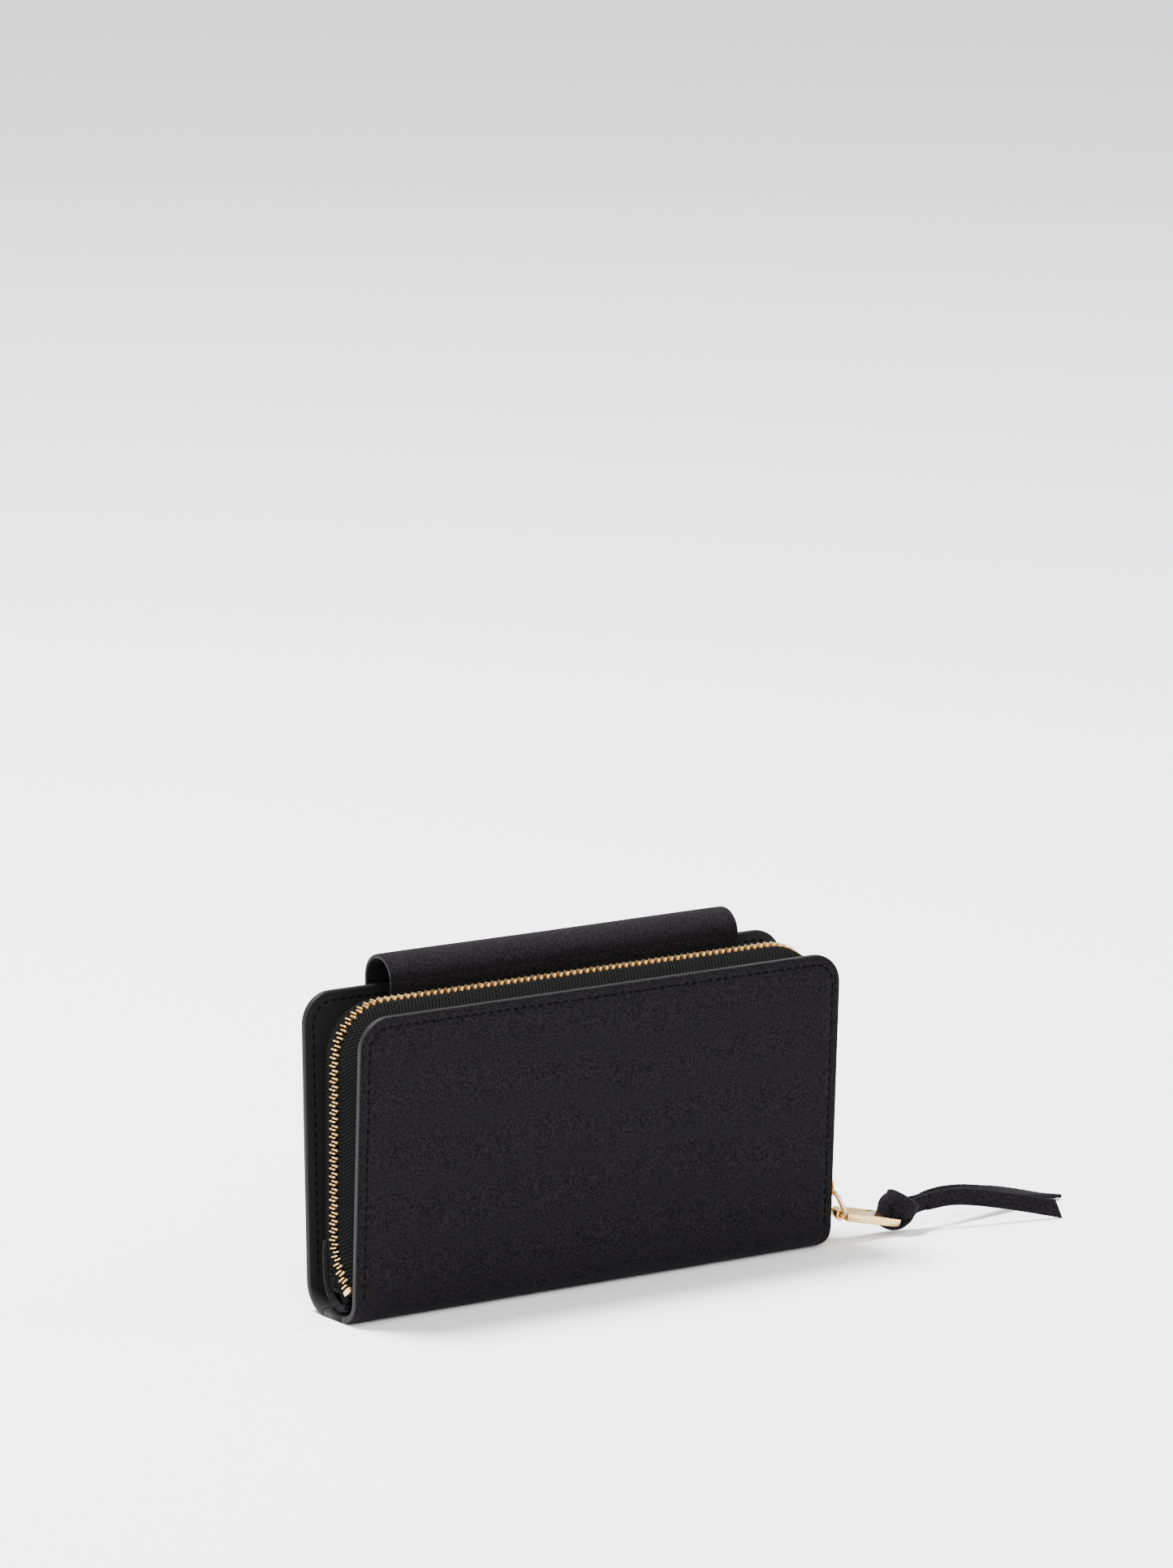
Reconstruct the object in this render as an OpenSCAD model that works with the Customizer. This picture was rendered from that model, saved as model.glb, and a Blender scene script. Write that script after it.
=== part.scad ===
// Zip around wallet standing on its folded spine, closed, with a suede lace on the zip pull.
// Millimetres. X runs along the wallet, -Y is its plain front, +Z is up.
// The origin is the middle of the flat underside of the spine.

/* [Covers] */
// Length of the covers
wallet_w = 190; // [150:1:220]
// Height of the front cover above the surface it stands on
front_h = 102; // [90:0.5:120]
// Height of the rear cover above the same surface
rear_h = 104.5; // [90:0.5:120]
// Radius of the covers' top corners
corner_r = 10.5; // [6:0.5:16]
// Forward lean of the front cover, in degrees
front_lean = 1.8; // [0:0.1:2.5]
// Backward lean of the rear cover, in degrees
rear_lean = 2.3; // [0:0.1:3]

/* [Spine] */
// Width of the flat part of the spine
spine_flat = 11; // [8:0.5:13]
// Outer radius of the fold under the front cover
front_fold_r = 8; // [7:0.5:10]
// Outer radius of the fold under the rear cover
rear_fold_r = 10.5; // [9:0.5:12]

/* [Sheets] */
// Thickness of the suede outside
suede_t = 1.0; // [0.6:0.1:1.4]
// Thickness of the stiffener board inside a cover
board_t = 0.9; // [0.6:0.1:1.4]
// Thickness of the lining
lining_t = 0.7; // [0.4:0.1:1.0]
// Thickness of one card slot sheet
slot_t = 0.5; // [0.3:0.1:0.6]

/* [Zip] */
// Distance from one tooth to the next in one row
tooth_pitch = 2.6; // [2.4:0.1:3]
// Width of the closed chain across both rows
chain_w = 5.8; // [5:0.1:6.5]
// Thickness of a tooth through the tape
tooth_h = 2.4; // [2:0.1:3]
// Thickness of the woven tape
tape_t = 0.8; // [0.5:0.1:1]
// Radius of the chain's path round the top corners
chain_r = 18; // [14:1:24]
// Height of the chain's middle along the top
chain_top = 103; // [98:0.5:110]

/* [Closure tab] */
// Length of the tab along the wallet
tab_w = 138; // [80:1:150]
// Thickness of the tab, suede and lining together
tab_t = 1.5; // [1.2:0.1:2]
// Outer radius of the tab's arch over the rear cover
tab_r = 8; // [7.8:0.1:8.5]
// Height of the tab's lower end above the surface
tab_low = 60; // [50:1:70]

/* [Pull] */
// Length of the metal bar on the pull
plate_l = 21.5; // [18:0.5:26]
// Width of the bar
plate_w = 7.4; // [7.2:0.1:7.6]
// Thickness of the bar
plate_t = 3; // [2.8:0.1:3.4]
// Radius of the link's wire
wire_r = 0.8; // [0.6:0.1:0.9]
// Width of the suede lace
lace_w = 5.8; // [5:0.1:6]
// Thickness of the suede lace
lace_t = 1.4; // [1:0.1:2]

/* [Hidden] */

suede = [0.07, 0.065, 0.065];
lining = [0.05, 0.05, 0.055];
board = [0.35, 0.3, 0.25];
tape = [0.1, 0.105, 0.1];
gold = [0.85, 0.68, 0.42];

// Covers and folds. Each cover turns about the centre of the fold under it.
cover_t = suede_t + board_t + lining_t;
fold_t = suede_t + lining_t * 2;
front_axis = [0, -spine_flat / 2, front_fold_r];
rear_axis = [0, spine_flat / 2, rear_fold_r];
front_l = (front_h - front_fold_r) / cos(front_lean);
rear_l = (rear_h - rear_fold_r) / cos(rear_lean);

// Divider between the zip compartment and the card section
divider_y = 3.3;
divider_t = 2.4;
divider_back = divider_y + divider_t;
divider_low = 10;
facing_t = 0.6;
backing_t = 0.8;
chain_x = wallet_w / 2 - 0.6;
divider_w = 2 * (chain_x - tape_t / 2) - 0.4;
divider_h = chain_top - tape_t / 2 - 0.2;
slot_w = 170;
slot_low = 16;
slot_step = 8;
slot_top = 74;

// The chain: up the left side, over the top and down the right side. Places beside it are [y, z].
chain_y = -0.5;
left_end = [-10.5, 9];
left_bend = [chain_y, 22];
left_top = [chain_y, chain_top - chain_r];
right_top = left_top;
right_bend = [-6.3, 13.6];
right_end = [-10.3, 10];
tooth_t = 1.15;
stop_l = 1.8;
stop_w = 4;
top_stop_s = 3;
bottom_stop_back = 3.2;
tape_gap = 0.05;

// The left diagonal turns upright on an arc
turn = atan2(left_bend[0] - left_end[0], left_bend[1] - left_end[1]);
turn_r = 20;
turn_reach = turn_r * tan(turn / 2);
turn_start = left_bend - turn_reach * [sin(turn), cos(turn)];
turn_end = left_bend + [0, turn_reach];
turn_centre = turn_end - [turn_r, 0];
turn_steps = 12;

// The chain's stretches and the length along the chain at which each starts
corner_l = PI / 2 * chain_r;
top_l = 2 * (chain_x - chain_r);
stretches = [
  norm(turn_start - left_end), turn_r * turn * PI / 180, norm(left_top - turn_end), corner_l,
  top_l, corner_l, norm(right_top - right_bend), norm(right_bend - right_end)
];
starts = [
  for (i = 0, s = 0; i <= len(stretches); s = s + (i < len(stretches) ? stretches[i] : 0), i = i + 1) s
];
slider_s = starts[7] - 5.5;

// Slider, link and plate
slider_l = 9.6;
slider_w = 9;
slider_plate = 1.4;
channel_h = tooth_h + 0.6;
channel_w = chain_w + 0.7;
tape_slot = tape_t + 0.5;
bridge_w = 2.6;
bridge_rise = 4.6;
bridge_l = 8.4;
bridge_t = 1;
slider_pose = chain_pose(slider_s);
slider_top = channel_h / 2 + slider_plate;
link_top = [chain_x + slider_top + 1.4, slider_pose[1], slider_pose[2] - 1];
link_low = [103.2, slider_pose[1], 9.4];
link_w = 10;
plate_roll = 8;
plate_dip = 12.5;
plate_yaw = -5;
bar_from = 1.8;
lug_w = 4.4;
lug_r = 1.9;
lace_slot = [2.4, lace_w + 0.6];
lace_slot_x = bar_from + plate_l - 5.6;

// Snap on the tab's outer leg
tab_axis = [13.7, 106.9];
tab_pivot = [tab_axis[0] - tab_r + tab_t / 2, 105];
bead_gap = 0.05;
tab_inner = tab_axis[0] + tab_r - tab_t;
snap_z = 72;
snap_post_r = 1.6;
snap_flange_r = 5.2;
snap_bore_r = 2;
snap_base_y = rear_axis[1] + rear_fold_r / cos(rear_lean) + (snap_z - rear_fold_r) * tan(rear_lean);

// Lace: the knot and the middle lines of its two tails
knot_at = [127.9, -8.8, 8.6];
knot_r = 7.2;
knot_l = 17.2;
tail_front = [
  [137.2, -9.6, 9.4], [140, -10.4, 9.8], [143, -11.1, 10.2], [146, -11.9, 10.4], [149, -12.7, 10.3],
  [152, -13.5, 10], [155, -14.4, 9.6], [158, -15.2, 9.1], [161, -16, 8.5], [164, -16.8, 7.9],
  [167, -17.6, 7.3], [170, -18.4, 6.6], [173, -19.2, 5.9], [176, -19.9, 5.2], [179, -20.7, 4.4],
  [182, -21.4, 3.7], [184.5, -22, 3.1]
];
tail_rear = [
  [137.2, -7.8, 9.5], [140, -7.5, 9.9], [143, -7.2, 10.1], [146, -6.9, 10.2], [149, -6.6, 10.1],
  [152, -6.3, 9.9], [155, -5.9, 9.6], [158, -5.5, 9.2], [161, -5.1, 8.7], [164, -4.7, 8.2],
  [167, -4.3, 7.7], [170, -3.9, 7.2], [173, -3.5, 6.7], [176, -3, 6.1], [179, -2.6, 5.5],
  [182, -2.1, 4.9], [185, -1.7, 4.2], [188, -1.3, 3.5], [191, -0.9, 2.8], [194, -0.5, 2.1],
  [197, -0.2, 1.5], [200, 0, 1]
];
// How far each tail's width stands up from level at its start and its end, in degrees
roll_front = [80, 78];
roll_rear = [80, 5];

// Where a length s along the chain is: [x, y, z, turn about Y, turn about X]
function chain_pose(s) =
  s < starts[1] ? side_pose(-1, left_end, turn_start, part_of(s, 0))
  : s < starts[2] ? turn_pose(turn * (1 - part_of(s, 1)))
  : s < starts[3] ? side_pose(-1, turn_end, left_top, part_of(s, 2))
  : s < starts[4] ? corner_pose(-1, part_of(s, 3))
  : s < starts[5] ? [-top_l / 2 + s - starts[4], chain_y, chain_top, 0, 0]
  : s < starts[6] ? corner_pose(1, part_of(s, 5))
  : s < starts[7] ? side_pose(1, right_top, right_bend, part_of(s, 6))
  : side_pose(1, right_bend, right_end, part_of(s, 7));

// How far along its i-th stretch the length s is, from 0 to 1
function part_of(s, i) = (s - starts[i]) / stretches[i];

// A point on the left turn, where the chain leans back by the angle a
function turn_pose(a) =
  [-chain_x, turn_centre[0] + turn_r * cos(a), turn_centre[1] - turn_r * sin(a), -90, -a];

// A point at the fraction f from one [y, z] to another, on the left (-1) or the right (1) side
function side_pose(side, from, to, f) =
  let (p = from + (to - from) * f, d = to - from)
  [side * chain_x, p[0], p[1], side * 90, atan2(d[0], -side * d[1]) * side];

// A point on a top corner, on the left (-1) or the right (1)
function corner_pose(side, f) =
  let (a = side < 0 ? -90 + 90 * f : 90 * f)
  [
    side * top_l / 2 + chain_r * sin(a),
    chain_y,
    chain_top - chain_r + chain_r * cos(a),
    a,
    0
  ];

// Puts its children on the chain at the length s: local X runs along it and local Z points out
module on_chain(s) {
  p = chain_pose(s);
  translate([p[0], p[1], p[2]])
    rotate([p[4], 0, 0])
      rotate([0, p[3], 0])
        children();
}

// A cover's outline with square lower corners and round upper ones
module cover_outline(w, h, r) {
  translate([-w / 2, 0])
    square([w, h - r]);
  translate([-w / 2 + r, h - r - 1])
    square([w - 2 * r, r + 1]);
  for (side = [-1, 1])
    translate([side * (w / 2 - r), h - r])
      circle(r, $fn = 72);
}

// Stands a flat outline up, from y to y + t
module upright(y, t) {
  translate([0, y + t, 0])
    rotate([90, 0, 0])
      linear_extrude(t)
        children();
}

// Runs a section drawn in Y and Z along X
module along_x(w) {
  rotate([90, 0, 90])
    linear_extrude(w, center = true)
      children();
}

// A bent sheet's section: a ring of outer radius r between two angles
module ring_sector(r, t, from, to) {
  reach = 3 * r;
  middle = (from + to) / 2;
  intersection() {
    difference() {
      circle(r, $fn = 96);
      circle(r - t, $fn = 96);
    }
    polygon([
      [0, 0],
      reach * [cos(from), sin(from)],
      reach * [cos(middle), sin(middle)],
      reach * [cos(to), sin(to)]
    ]);
  }
}

// One layer of the front cover, whose outer face is at a depth below the suede's face
module front_layer(depth, t) {
  translate(front_axis)
    rotate([front_lean, 0, 0])
      upright(-front_fold_r + depth, t)
        cover_outline(wallet_w, front_l, corner_r);
}

// One layer of the rear cover, w wide and h high
module rear_layer(depth, t, w = wallet_w, h = rear_l, r = corner_r) {
  translate(rear_axis)
    rotate([-rear_lean, 0, 0])
      upright(rear_fold_r - depth - t, t)
        cover_outline(w, h, r);
}

module front_cover() {
  color(suede) front_layer(0, suede_t);
}

module front_board() {
  color(board) front_layer(suede_t, board_t);
}

module front_lining() {
  color(lining) front_layer(suede_t + board_t, lining_t);
}

module front_bend(depth, t) {
  translate([0, front_axis[1], front_axis[2]])
    along_x(wallet_w)
      ring_sector(front_fold_r - depth, t, -180 + front_lean, -90);
}

module rear_bend(depth, t) {
  translate([0, rear_axis[1], rear_axis[2]])
    along_x(wallet_w)
      ring_sector(rear_fold_r - depth, t, -90, -rear_lean);
}

module front_fold() {
  color(suede) front_bend(0, suede_t);
}

module front_fold_lining() {
  color(lining) front_bend(suede_t, fold_t - suede_t);
}

module rear_fold() {
  color(suede) rear_bend(0, suede_t);
}

module rear_fold_lining() {
  color(lining) rear_bend(suede_t, fold_t - suede_t);
}

module spine_cover() {
  color(suede)
    along_x(wallet_w)
      translate([-spine_flat / 2, 0])
        square([spine_flat, suede_t]);
}

module spine_lining() {
  color(lining)
    along_x(wallet_w)
      translate([-spine_flat / 2, suede_t])
        square([spine_flat, fold_t - suede_t]);
}

module rear_cover() {
  color(suede)
    difference() {
      rear_layer(0, suede_t);
      snap_axis(snap_base_y - 4, 8, snap_post_r);
    }
}

module rear_board() {
  color(board)
    difference() {
      rear_layer(suede_t, board_t);
      snap_axis(snap_base_y - 4, 8, snap_post_r);
    }
}

module rear_lining() {
  color(lining) rear_layer(suede_t + board_t, lining_t);
}

// A sheet sewn inside the rear cover, the n-th one in, reaching up to a height above the surface
module inner_sheet(n, top) {
  translate([0, 0, 4])
    rear_layer(cover_t + n * slot_t, slot_t, slot_w, top - rear_fold_r - 4, 3);
}

module bill_pocket() {
  color(lining) inner_sheet(0, 88);
}

module cover_slot(n) {
  color(lining) inner_sheet(n, slot_top - slot_step * (n - 1));
}

// One layer of the divider, t thick from the depth y
module divider_layer(y, t) {
  translate([0, 0, divider_low])
    upright(y, t)
      cover_outline(divider_w, divider_h - divider_low, chain_r - tape_t / 2 - 0.2);
}

module divider_facing() {
  color(lining) divider_layer(divider_y, facing_t);
}

module divider_board() {
  color(board) divider_layer(divider_y + facing_t, divider_t - facing_t - backing_t);
}

module divider_backing() {
  color(suede) divider_layer(divider_back - backing_t, backing_t);
}

// The strip that ties the divider down to the spine
module divider_anchor() {
  color(lining)
    translate([-divider_w / 2, divider_y - lining_t, fold_t])
      cube([divider_w, lining_t, divider_low + 4 - fold_t]);
}

// The lining fold that closes the zip compartment underneath
module compartment_floor() {
  floor_front = front_axis[1] - front_fold_r + fold_t + 0.6;
  floor_w = divider_w - 1.4;
  color(lining)
    translate([-floor_w / 2, floor_front, divider_low - 1])
      cube([floor_w, divider_y - lining_t - floor_front, lining_t]);
}

module card_slot(n) {
  top = slot_top - slot_step * (n - 1);
  color(lining)
    translate([0, 0, slot_low])
      upright(divider_back + (n - 1) * slot_t, slot_t)
        cover_outline(slot_w, top - slot_low, 3);
}

// The ring that both tapes are cut from, as wide as the zip's side walls
module tape_ring() {
  upright(-20, 40)
    difference() {
      cover_outline(2 * chain_x + tape_t, chain_top + tape_t / 2, chain_r + tape_t / 2);
      translate([0, -1])
        cover_outline(2 * chain_x - tape_t, chain_top - tape_t / 2 + 1, chain_r - tape_t / 2);
    }
}

// The part of the ring on one side of the chain's line, on the left (-1) or the right (1)
module tape_half(side, section) {
  intersection() {
    tape_ring();
    translate([side * wallet_w / 4, 0, 0])
      along_x(wallet_w / 2)
        polygon(section);
  }
}

// The front cover's inner face as [y, z] at the height z
function front_inner(z) =
  let (r = front_fold_r - cover_t)
  [front_axis[1] - r / cos(front_lean) - (z - front_axis[2]) * tan(front_lean), z];

// The direction to the rear of a line that runs upwards along d
function rear_of(d) = [d[1], -d[0]] / norm(d);

// The corner at b of an edge that runs v behind the line from a over b to c
function mitred(a, b, c, v) =
  let (m = rear_of(b - a), n = rear_of(c - b))
  b + v * (m + n) / (1 + m * n);

// Where the line from p along d meets the front cover's inner face
function at_front(p, d) =
  let (face = front_inner(p[1]), slope = tan(front_lean))
  p + d * (face[0] - p[0]) / (d[0] + d[1] * slope);

// An edge of the chain on the left, v behind its middle, from the bottom up
function left_edge(v) = concat(
  [left_end + v * rear_of(turn_start - left_end)],
  [for (i = [0 : turn_steps])
    let (a = turn * (1 - i / turn_steps))
    turn_centre + (turn_r + v) * [cos(a), -sin(a)]],
  [[chain_y + v, chain_top + 2]]
);

// The same on the right
function right_edge(v) =
  let (top = [chain_y, chain_top + 2])
  [
    right_end + v * rear_of(right_bend - right_end),
    mitred(right_end, right_bend, right_top, v),
    mitred(right_bend, right_top, top, v),
    top + [v, 0]
  ];

// An edge cut off where it meets the front cover, and closed along the cover's inner face. The last
// point is the same on the left and the right, so that the two halves share one plane.
function to_front(edge) = concat(
  [at_front(edge[0], edge[1] - edge[0])],
  [for (i = [1 : len(edge) - 1]) edge[i]],
  [front_inner(chain_top + 2), front_inner(left_bend[1])]
);

// An edge closed along the divider's back
function to_divider(edge) =
  concat(edge, [[divider_back, chain_top + 2], [divider_back, divider_low]]);

module front_tape() {
  v = -chain_w / 2 - tape_gap;
  color(tape) {
    tape_half(-1, to_front(left_edge(v)));
    tape_half(1, to_front(right_edge(v)));
  }
}

module rear_tape() {
  v = chain_w / 2 + tape_gap;
  color(tape) {
    tape_half(-1, to_divider(left_edge(v)));
    tape_half(1, to_divider(right_edge(v)));
  }
}

// One tooth: its root grips the tape and its head reaches over the middle, on the side given
module tooth(side) {
  root = chain_w / 2;
  head = 0.9;
  translate([-tooth_t / 2, side > 0 ? -head : -root, -tooth_h / 2])
    cube([tooth_t, root + head, tooth_h]);
}

module tooth_row(side, shift) {
  first = top_stop_s + stop_l / 2 + tooth_t;
  for (s = [first + shift : tooth_pitch : slider_s])
    on_chain(s)
      tooth(side);
}

module front_teeth() {
  color(gold) tooth_row(-1, 0);
}

module rear_teeth() {
  color(gold) tooth_row(1, tooth_pitch / 2);
}

module zip_stop(s) {
  color(gold)
    on_chain(s)
      translate([-stop_l / 2, -stop_w / 2, -tooth_h / 2])
        cube([stop_l, stop_w, tooth_h]);
}

module zip_top_stop() {
  zip_stop(top_stop_s);
}

module zip_bottom_stop() {
  zip_stop(starts[8] - bottom_stop_back);
}

// A bore or disc along Y at the snap's height
module snap_axis(y, l, r) {
  translate([0, y, snap_z])
    rotate([-90, 0, 0])
      cylinder(h = l, r = r, $fn = 48);
}

// The arched strap's section from the pivot down to its outer end, between two depths
module tab_section(depth, t) {
  r = tab_r - depth;
  translate(tab_axis)
    ring_sector(r, t, 0, 180);
  difference() {
    translate([tab_axis[0] - r, tab_pivot[1]])
      square([t, tab_axis[1] - tab_pivot[1]]);
    translate(tab_pivot)
      circle(tab_t / 2 + bead_gap, $fn = 48);
  }
  translate([tab_axis[0] + r - t, tab_low])
    square([t, tab_axis[1] - tab_low]);
}

module closure_tab() {
  color(suede)
    difference() {
      along_x(tab_w)
        tab_section(0, tab_t / 2);
      snap_axis(tab_inner - 1, 5, snap_post_r);
    }
}

module tab_lining() {
  color(suede)
    difference() {
      along_x(tab_w)
        tab_section(tab_t / 2, tab_t / 2);
      snap_axis(tab_inner - 1, 5, snap_post_r);
    }
}

// The fixed end of the tab, sewn to the back of the divider. It ends in the bead it bends about.
module tab_root() {
  root_low = slot_top + 2;
  bead_r = tab_t / 2;
  root_high = tab_pivot[1] - bead_r - bead_gap;
  color(suede)
    along_x(tab_w) {
      translate([tab_pivot[0] - bead_r, root_low])
        square([tab_t, root_high - root_low]);
      translate([tab_pivot[0], root_low])
        square([bead_r * 0.9, tab_pivot[1] - root_low]);
      translate(tab_pivot)
        circle(bead_r, $fn = 48);
    }
}

module snap_cap() {
  color(gold)
    translate([0, tab_inner + tab_t, snap_z])
      rotate([-90, 0, 0])
        rotate_extrude($fn = 64)
          polygon([[0, 0], [6.2, 0], [6.2, 0.5], [5.6, 1], [4, 1.4], [0, 1.6]]);
  color(gold) snap_axis(tab_inner, tab_t, snap_post_r);
}

module snap_socket() {
  color(gold)
    difference() {
      snap_axis(tab_inner - 1, 1, snap_flange_r);
      snap_axis(tab_inner - 2, 3, snap_bore_r);
    }
}

module snap_stud() {
  nub_y = tab_inner - 0.8;
  color(gold) {
    translate([0, snap_base_y, snap_z])
      rotate([-rear_lean - 90, 0, 0])
        cylinder(h = 0.4, r = snap_flange_r, $fn = 48);
    snap_axis(snap_base_y - 1.5, nub_y - snap_base_y + 1.5, snap_post_r);
  }
}

// The disc that holds the stud from inside the cover, under the lining
module stud_rivet() {
  color(gold)
    translate([0, snap_base_y, snap_z])
      rotate([-rear_lean - 90, 0, 0])
        translate([0, 0, -suede_t - board_t])
          cylinder(h = 0.3, r = snap_post_r - 0.1, $fn = 48);
}

module slider_body() {
  color(gold)
    on_chain(slider_s)
      difference() {
        translate([-slider_l / 2, -slider_w / 2, -slider_top])
          cube([slider_l, slider_w, 2 * slider_top]);
        translate([-slider_l / 2 - 1, -channel_w / 2, -channel_h / 2])
          cube([slider_l - 1.6, channel_w, channel_h]);
        for (side = [-1, 1])
          translate([-slider_l / 2 - 1, side * slider_w / 2 - slider_w / 3, -tape_slot / 2])
            cube([slider_l + 2, slider_w * 2 / 3, tape_slot]);
        for (side = [-1, 1])
          translate([-slider_l, side * (slider_w / 2 + 0.1) - 1.1, -slider_top - 1])
            cube([2 * slider_l, 2.2, slider_top + 1 - channel_h / 2]);
      }
}

// The bail on the slider, with the link's bar under it
module slider_bridge() {
  post_l = 1.5;
  color(gold)
    on_chain(slider_s)
      translate([0, bridge_w / 2, slider_top])
        rotate([90, 0, 0])
          linear_extrude(bridge_w)
            difference() {
              translate([-bridge_l / 2, 0])
                square([bridge_l, bridge_rise]);
              translate([-bridge_l / 2 + post_l, -1])
                square([bridge_l - 2 * post_l, bridge_rise - bridge_t + 1]);
            }
}

// A wire bar along Y, or a straight leg between two points
module bar(at) {
  translate([at[0], at[1] - link_w / 2, at[2]])
    rotate([-90, 0, 0])
      cylinder(h = link_w, r = wire_r, $fn = 24);
}

module link_leg(side) {
  drop = link_top - link_low;
  turn = atan2(drop[0], drop[2]);
  translate([link_low[0], link_low[1] + side * link_w / 2, link_low[2]])
    rotate([0, turn, 0])
      cylinder(h = norm(drop), r = wire_r, $fn = 24);
  for (at = [link_top, link_low])
    translate([at[0], at[1] + side * link_w / 2, at[2]])
      sphere(wire_r, $fn = 24);
}

module pull_link() {
  color(gold) {
    bar(link_top);
    bar(link_low);
    link_leg(-1);
    link_leg(1);
  }
}

// The plate's own frame: X along it from the eye's centre, Z through it
module on_plate() {
  translate(link_low)
    rotate([plate_roll, plate_dip, plate_yaw])
      children();
}

// The plate: a flat bar and the round lug that the link passes through
module pull_plate() {
  color(gold)
    difference() {
      on_plate() {
        translate([bar_from, -plate_w / 2, -plate_t / 2])
          cube([plate_l, plate_w, plate_t]);
        translate([0, -lug_w / 2, -plate_t / 2])
          cube([bar_from + 1, lug_w, plate_t]);
        translate([0, -lug_w / 2, 0])
          rotate([-90, 0, 0])
            cylinder(h = lug_w, r = lug_r, $fn = 48);
      }
      translate([link_low[0], link_low[1] - plate_w, link_low[2]])
        rotate([-90, 0, 0])
          cylinder(h = 2 * plate_w, r = wire_r + 0.3, $fn = 32);
      on_plate()
        translate([lace_slot_x - lace_slot[0] / 2, -lace_slot[1] / 2, -plate_t])
          cube([lace_slot[0], lace_slot[1], 2 * plate_t]);
    }
}

// The knot, drawn tight round the plate's far end
module lace_knot() {
  grip = 0.1;
  color(suede)
    difference() {
      translate([knot_at[0] - knot_l / 2, knot_at[1], knot_at[2]])
        rotate([0, 90, 0])
          rotate_extrude($fn = 48)
            polygon([
              [0, 0], [knot_r - 3, 0], [knot_r - 0.5, 2.5], [knot_r, knot_l / 3],
              [knot_r - 1.2, knot_l * 0.7], [knot_r - 3, knot_l], [0, knot_l]
            ]);
      on_plate()
        translate([0, -plate_w / 2 - grip, -plate_t / 2 - grip])
          cube([bar_from + plate_l + grip, plate_w + 2 * grip, plate_t + 2 * grip]);
    }
}

// The flat lace's section: an octagon as wide as the lace
function lace_section() =
  [for (a = [22.5 : 45 : 359]) [lace_w / 2 * cos(a) / cos(22.5), lace_t / 2 * sin(a) / sin(67.5)]];

function unit(v) = v / norm(v);

function direction(route, i) =
  unit(route[min(i + 1, len(route) - 1)] - route[max(i - 1, 0)]);

// A flat strip swept along a route, whose width turns up from level by roll[0] to roll[1] degrees
module strip(route, roll) {
  section = lace_section();
  n = len(section);
  last = len(route) - 1;
  points = [
    for (i = [0 : last])
      let (
        d = direction(route, i),
        level = unit(cross([0, 0, 1], d)),
        a = roll[0] + (roll[1] - roll[0]) * i / last,
        across = level * cos(a) + cross(d, level) * sin(a),
        through = cross(d, across)
      )
      for (p = section)
        route[i] + p[0] * across + p[1] * through
  ];
  walls = [
    for (i = [0 : last - 1])
      for (k = [0 : n - 1])
        let (a = i * n + k, b = i * n + (k + 1) % n)
        each [[a, a + n, b], [b, a + n, b + n]]
  ];
  start_cap = [for (k = [0 : n - 1]) k];
  end_cap = [for (k = [n - 1 : -1 : 0]) last * n + k];
  polyhedron(points = points, faces = concat(walls, [start_cap, end_cap]));
}

module lace_tail_front() {
  color(suede) strip(tail_front, roll_front);
}

module lace_tail_rear() {
  color(suede) strip(tail_rear, roll_rear);
}

front_cover();
front_board();
front_lining();
front_fold();
front_fold_lining();
spine_cover();
spine_lining();
rear_fold();
rear_fold_lining();
rear_cover();
rear_board();
rear_lining();
bill_pocket();
cover_slot(1);  // cover_slot_1
cover_slot(2);  // cover_slot_2
cover_slot(3);  // cover_slot_3
divider_facing();
divider_board();
divider_backing();
divider_anchor();
compartment_floor();
card_slot(1);  // card_slot_1
card_slot(2);  // card_slot_2
card_slot(3);  // card_slot_3
card_slot(4);  // card_slot_4
front_tape();
rear_tape();
front_teeth();
rear_teeth();
zip_top_stop();
zip_bottom_stop();
tab_root();
closure_tab();
tab_lining();
snap_cap();
snap_socket();
snap_stud();
stud_rivet();
slider_body();
slider_bridge();
pull_link();
pull_plate();
lace_knot();
lace_tail_front();
lace_tail_rear();
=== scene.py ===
"""The zip around wallet's looks: suede covers, woven tape, metal zip, snap tab and knotted lace."""
import math

import bmesh
import bpy
from mathutils import Matrix, Vector


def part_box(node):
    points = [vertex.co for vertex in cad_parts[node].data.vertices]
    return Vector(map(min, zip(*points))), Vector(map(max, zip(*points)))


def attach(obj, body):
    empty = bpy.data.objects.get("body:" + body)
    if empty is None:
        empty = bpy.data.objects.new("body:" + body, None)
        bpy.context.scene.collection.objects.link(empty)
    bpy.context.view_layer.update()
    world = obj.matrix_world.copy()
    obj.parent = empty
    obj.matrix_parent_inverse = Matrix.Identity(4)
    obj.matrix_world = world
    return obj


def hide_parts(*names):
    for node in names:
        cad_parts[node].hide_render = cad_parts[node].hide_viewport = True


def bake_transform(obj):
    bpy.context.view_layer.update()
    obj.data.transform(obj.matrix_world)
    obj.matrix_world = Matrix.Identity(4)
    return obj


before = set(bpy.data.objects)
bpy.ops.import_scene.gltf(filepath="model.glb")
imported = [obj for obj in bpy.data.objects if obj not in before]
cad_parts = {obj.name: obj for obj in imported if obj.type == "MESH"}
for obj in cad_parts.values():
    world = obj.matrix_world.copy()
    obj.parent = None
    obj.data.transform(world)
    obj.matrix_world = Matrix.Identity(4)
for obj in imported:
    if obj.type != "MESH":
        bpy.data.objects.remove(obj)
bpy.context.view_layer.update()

MM = 0.001
QUARTER = math.pi / 2

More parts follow.
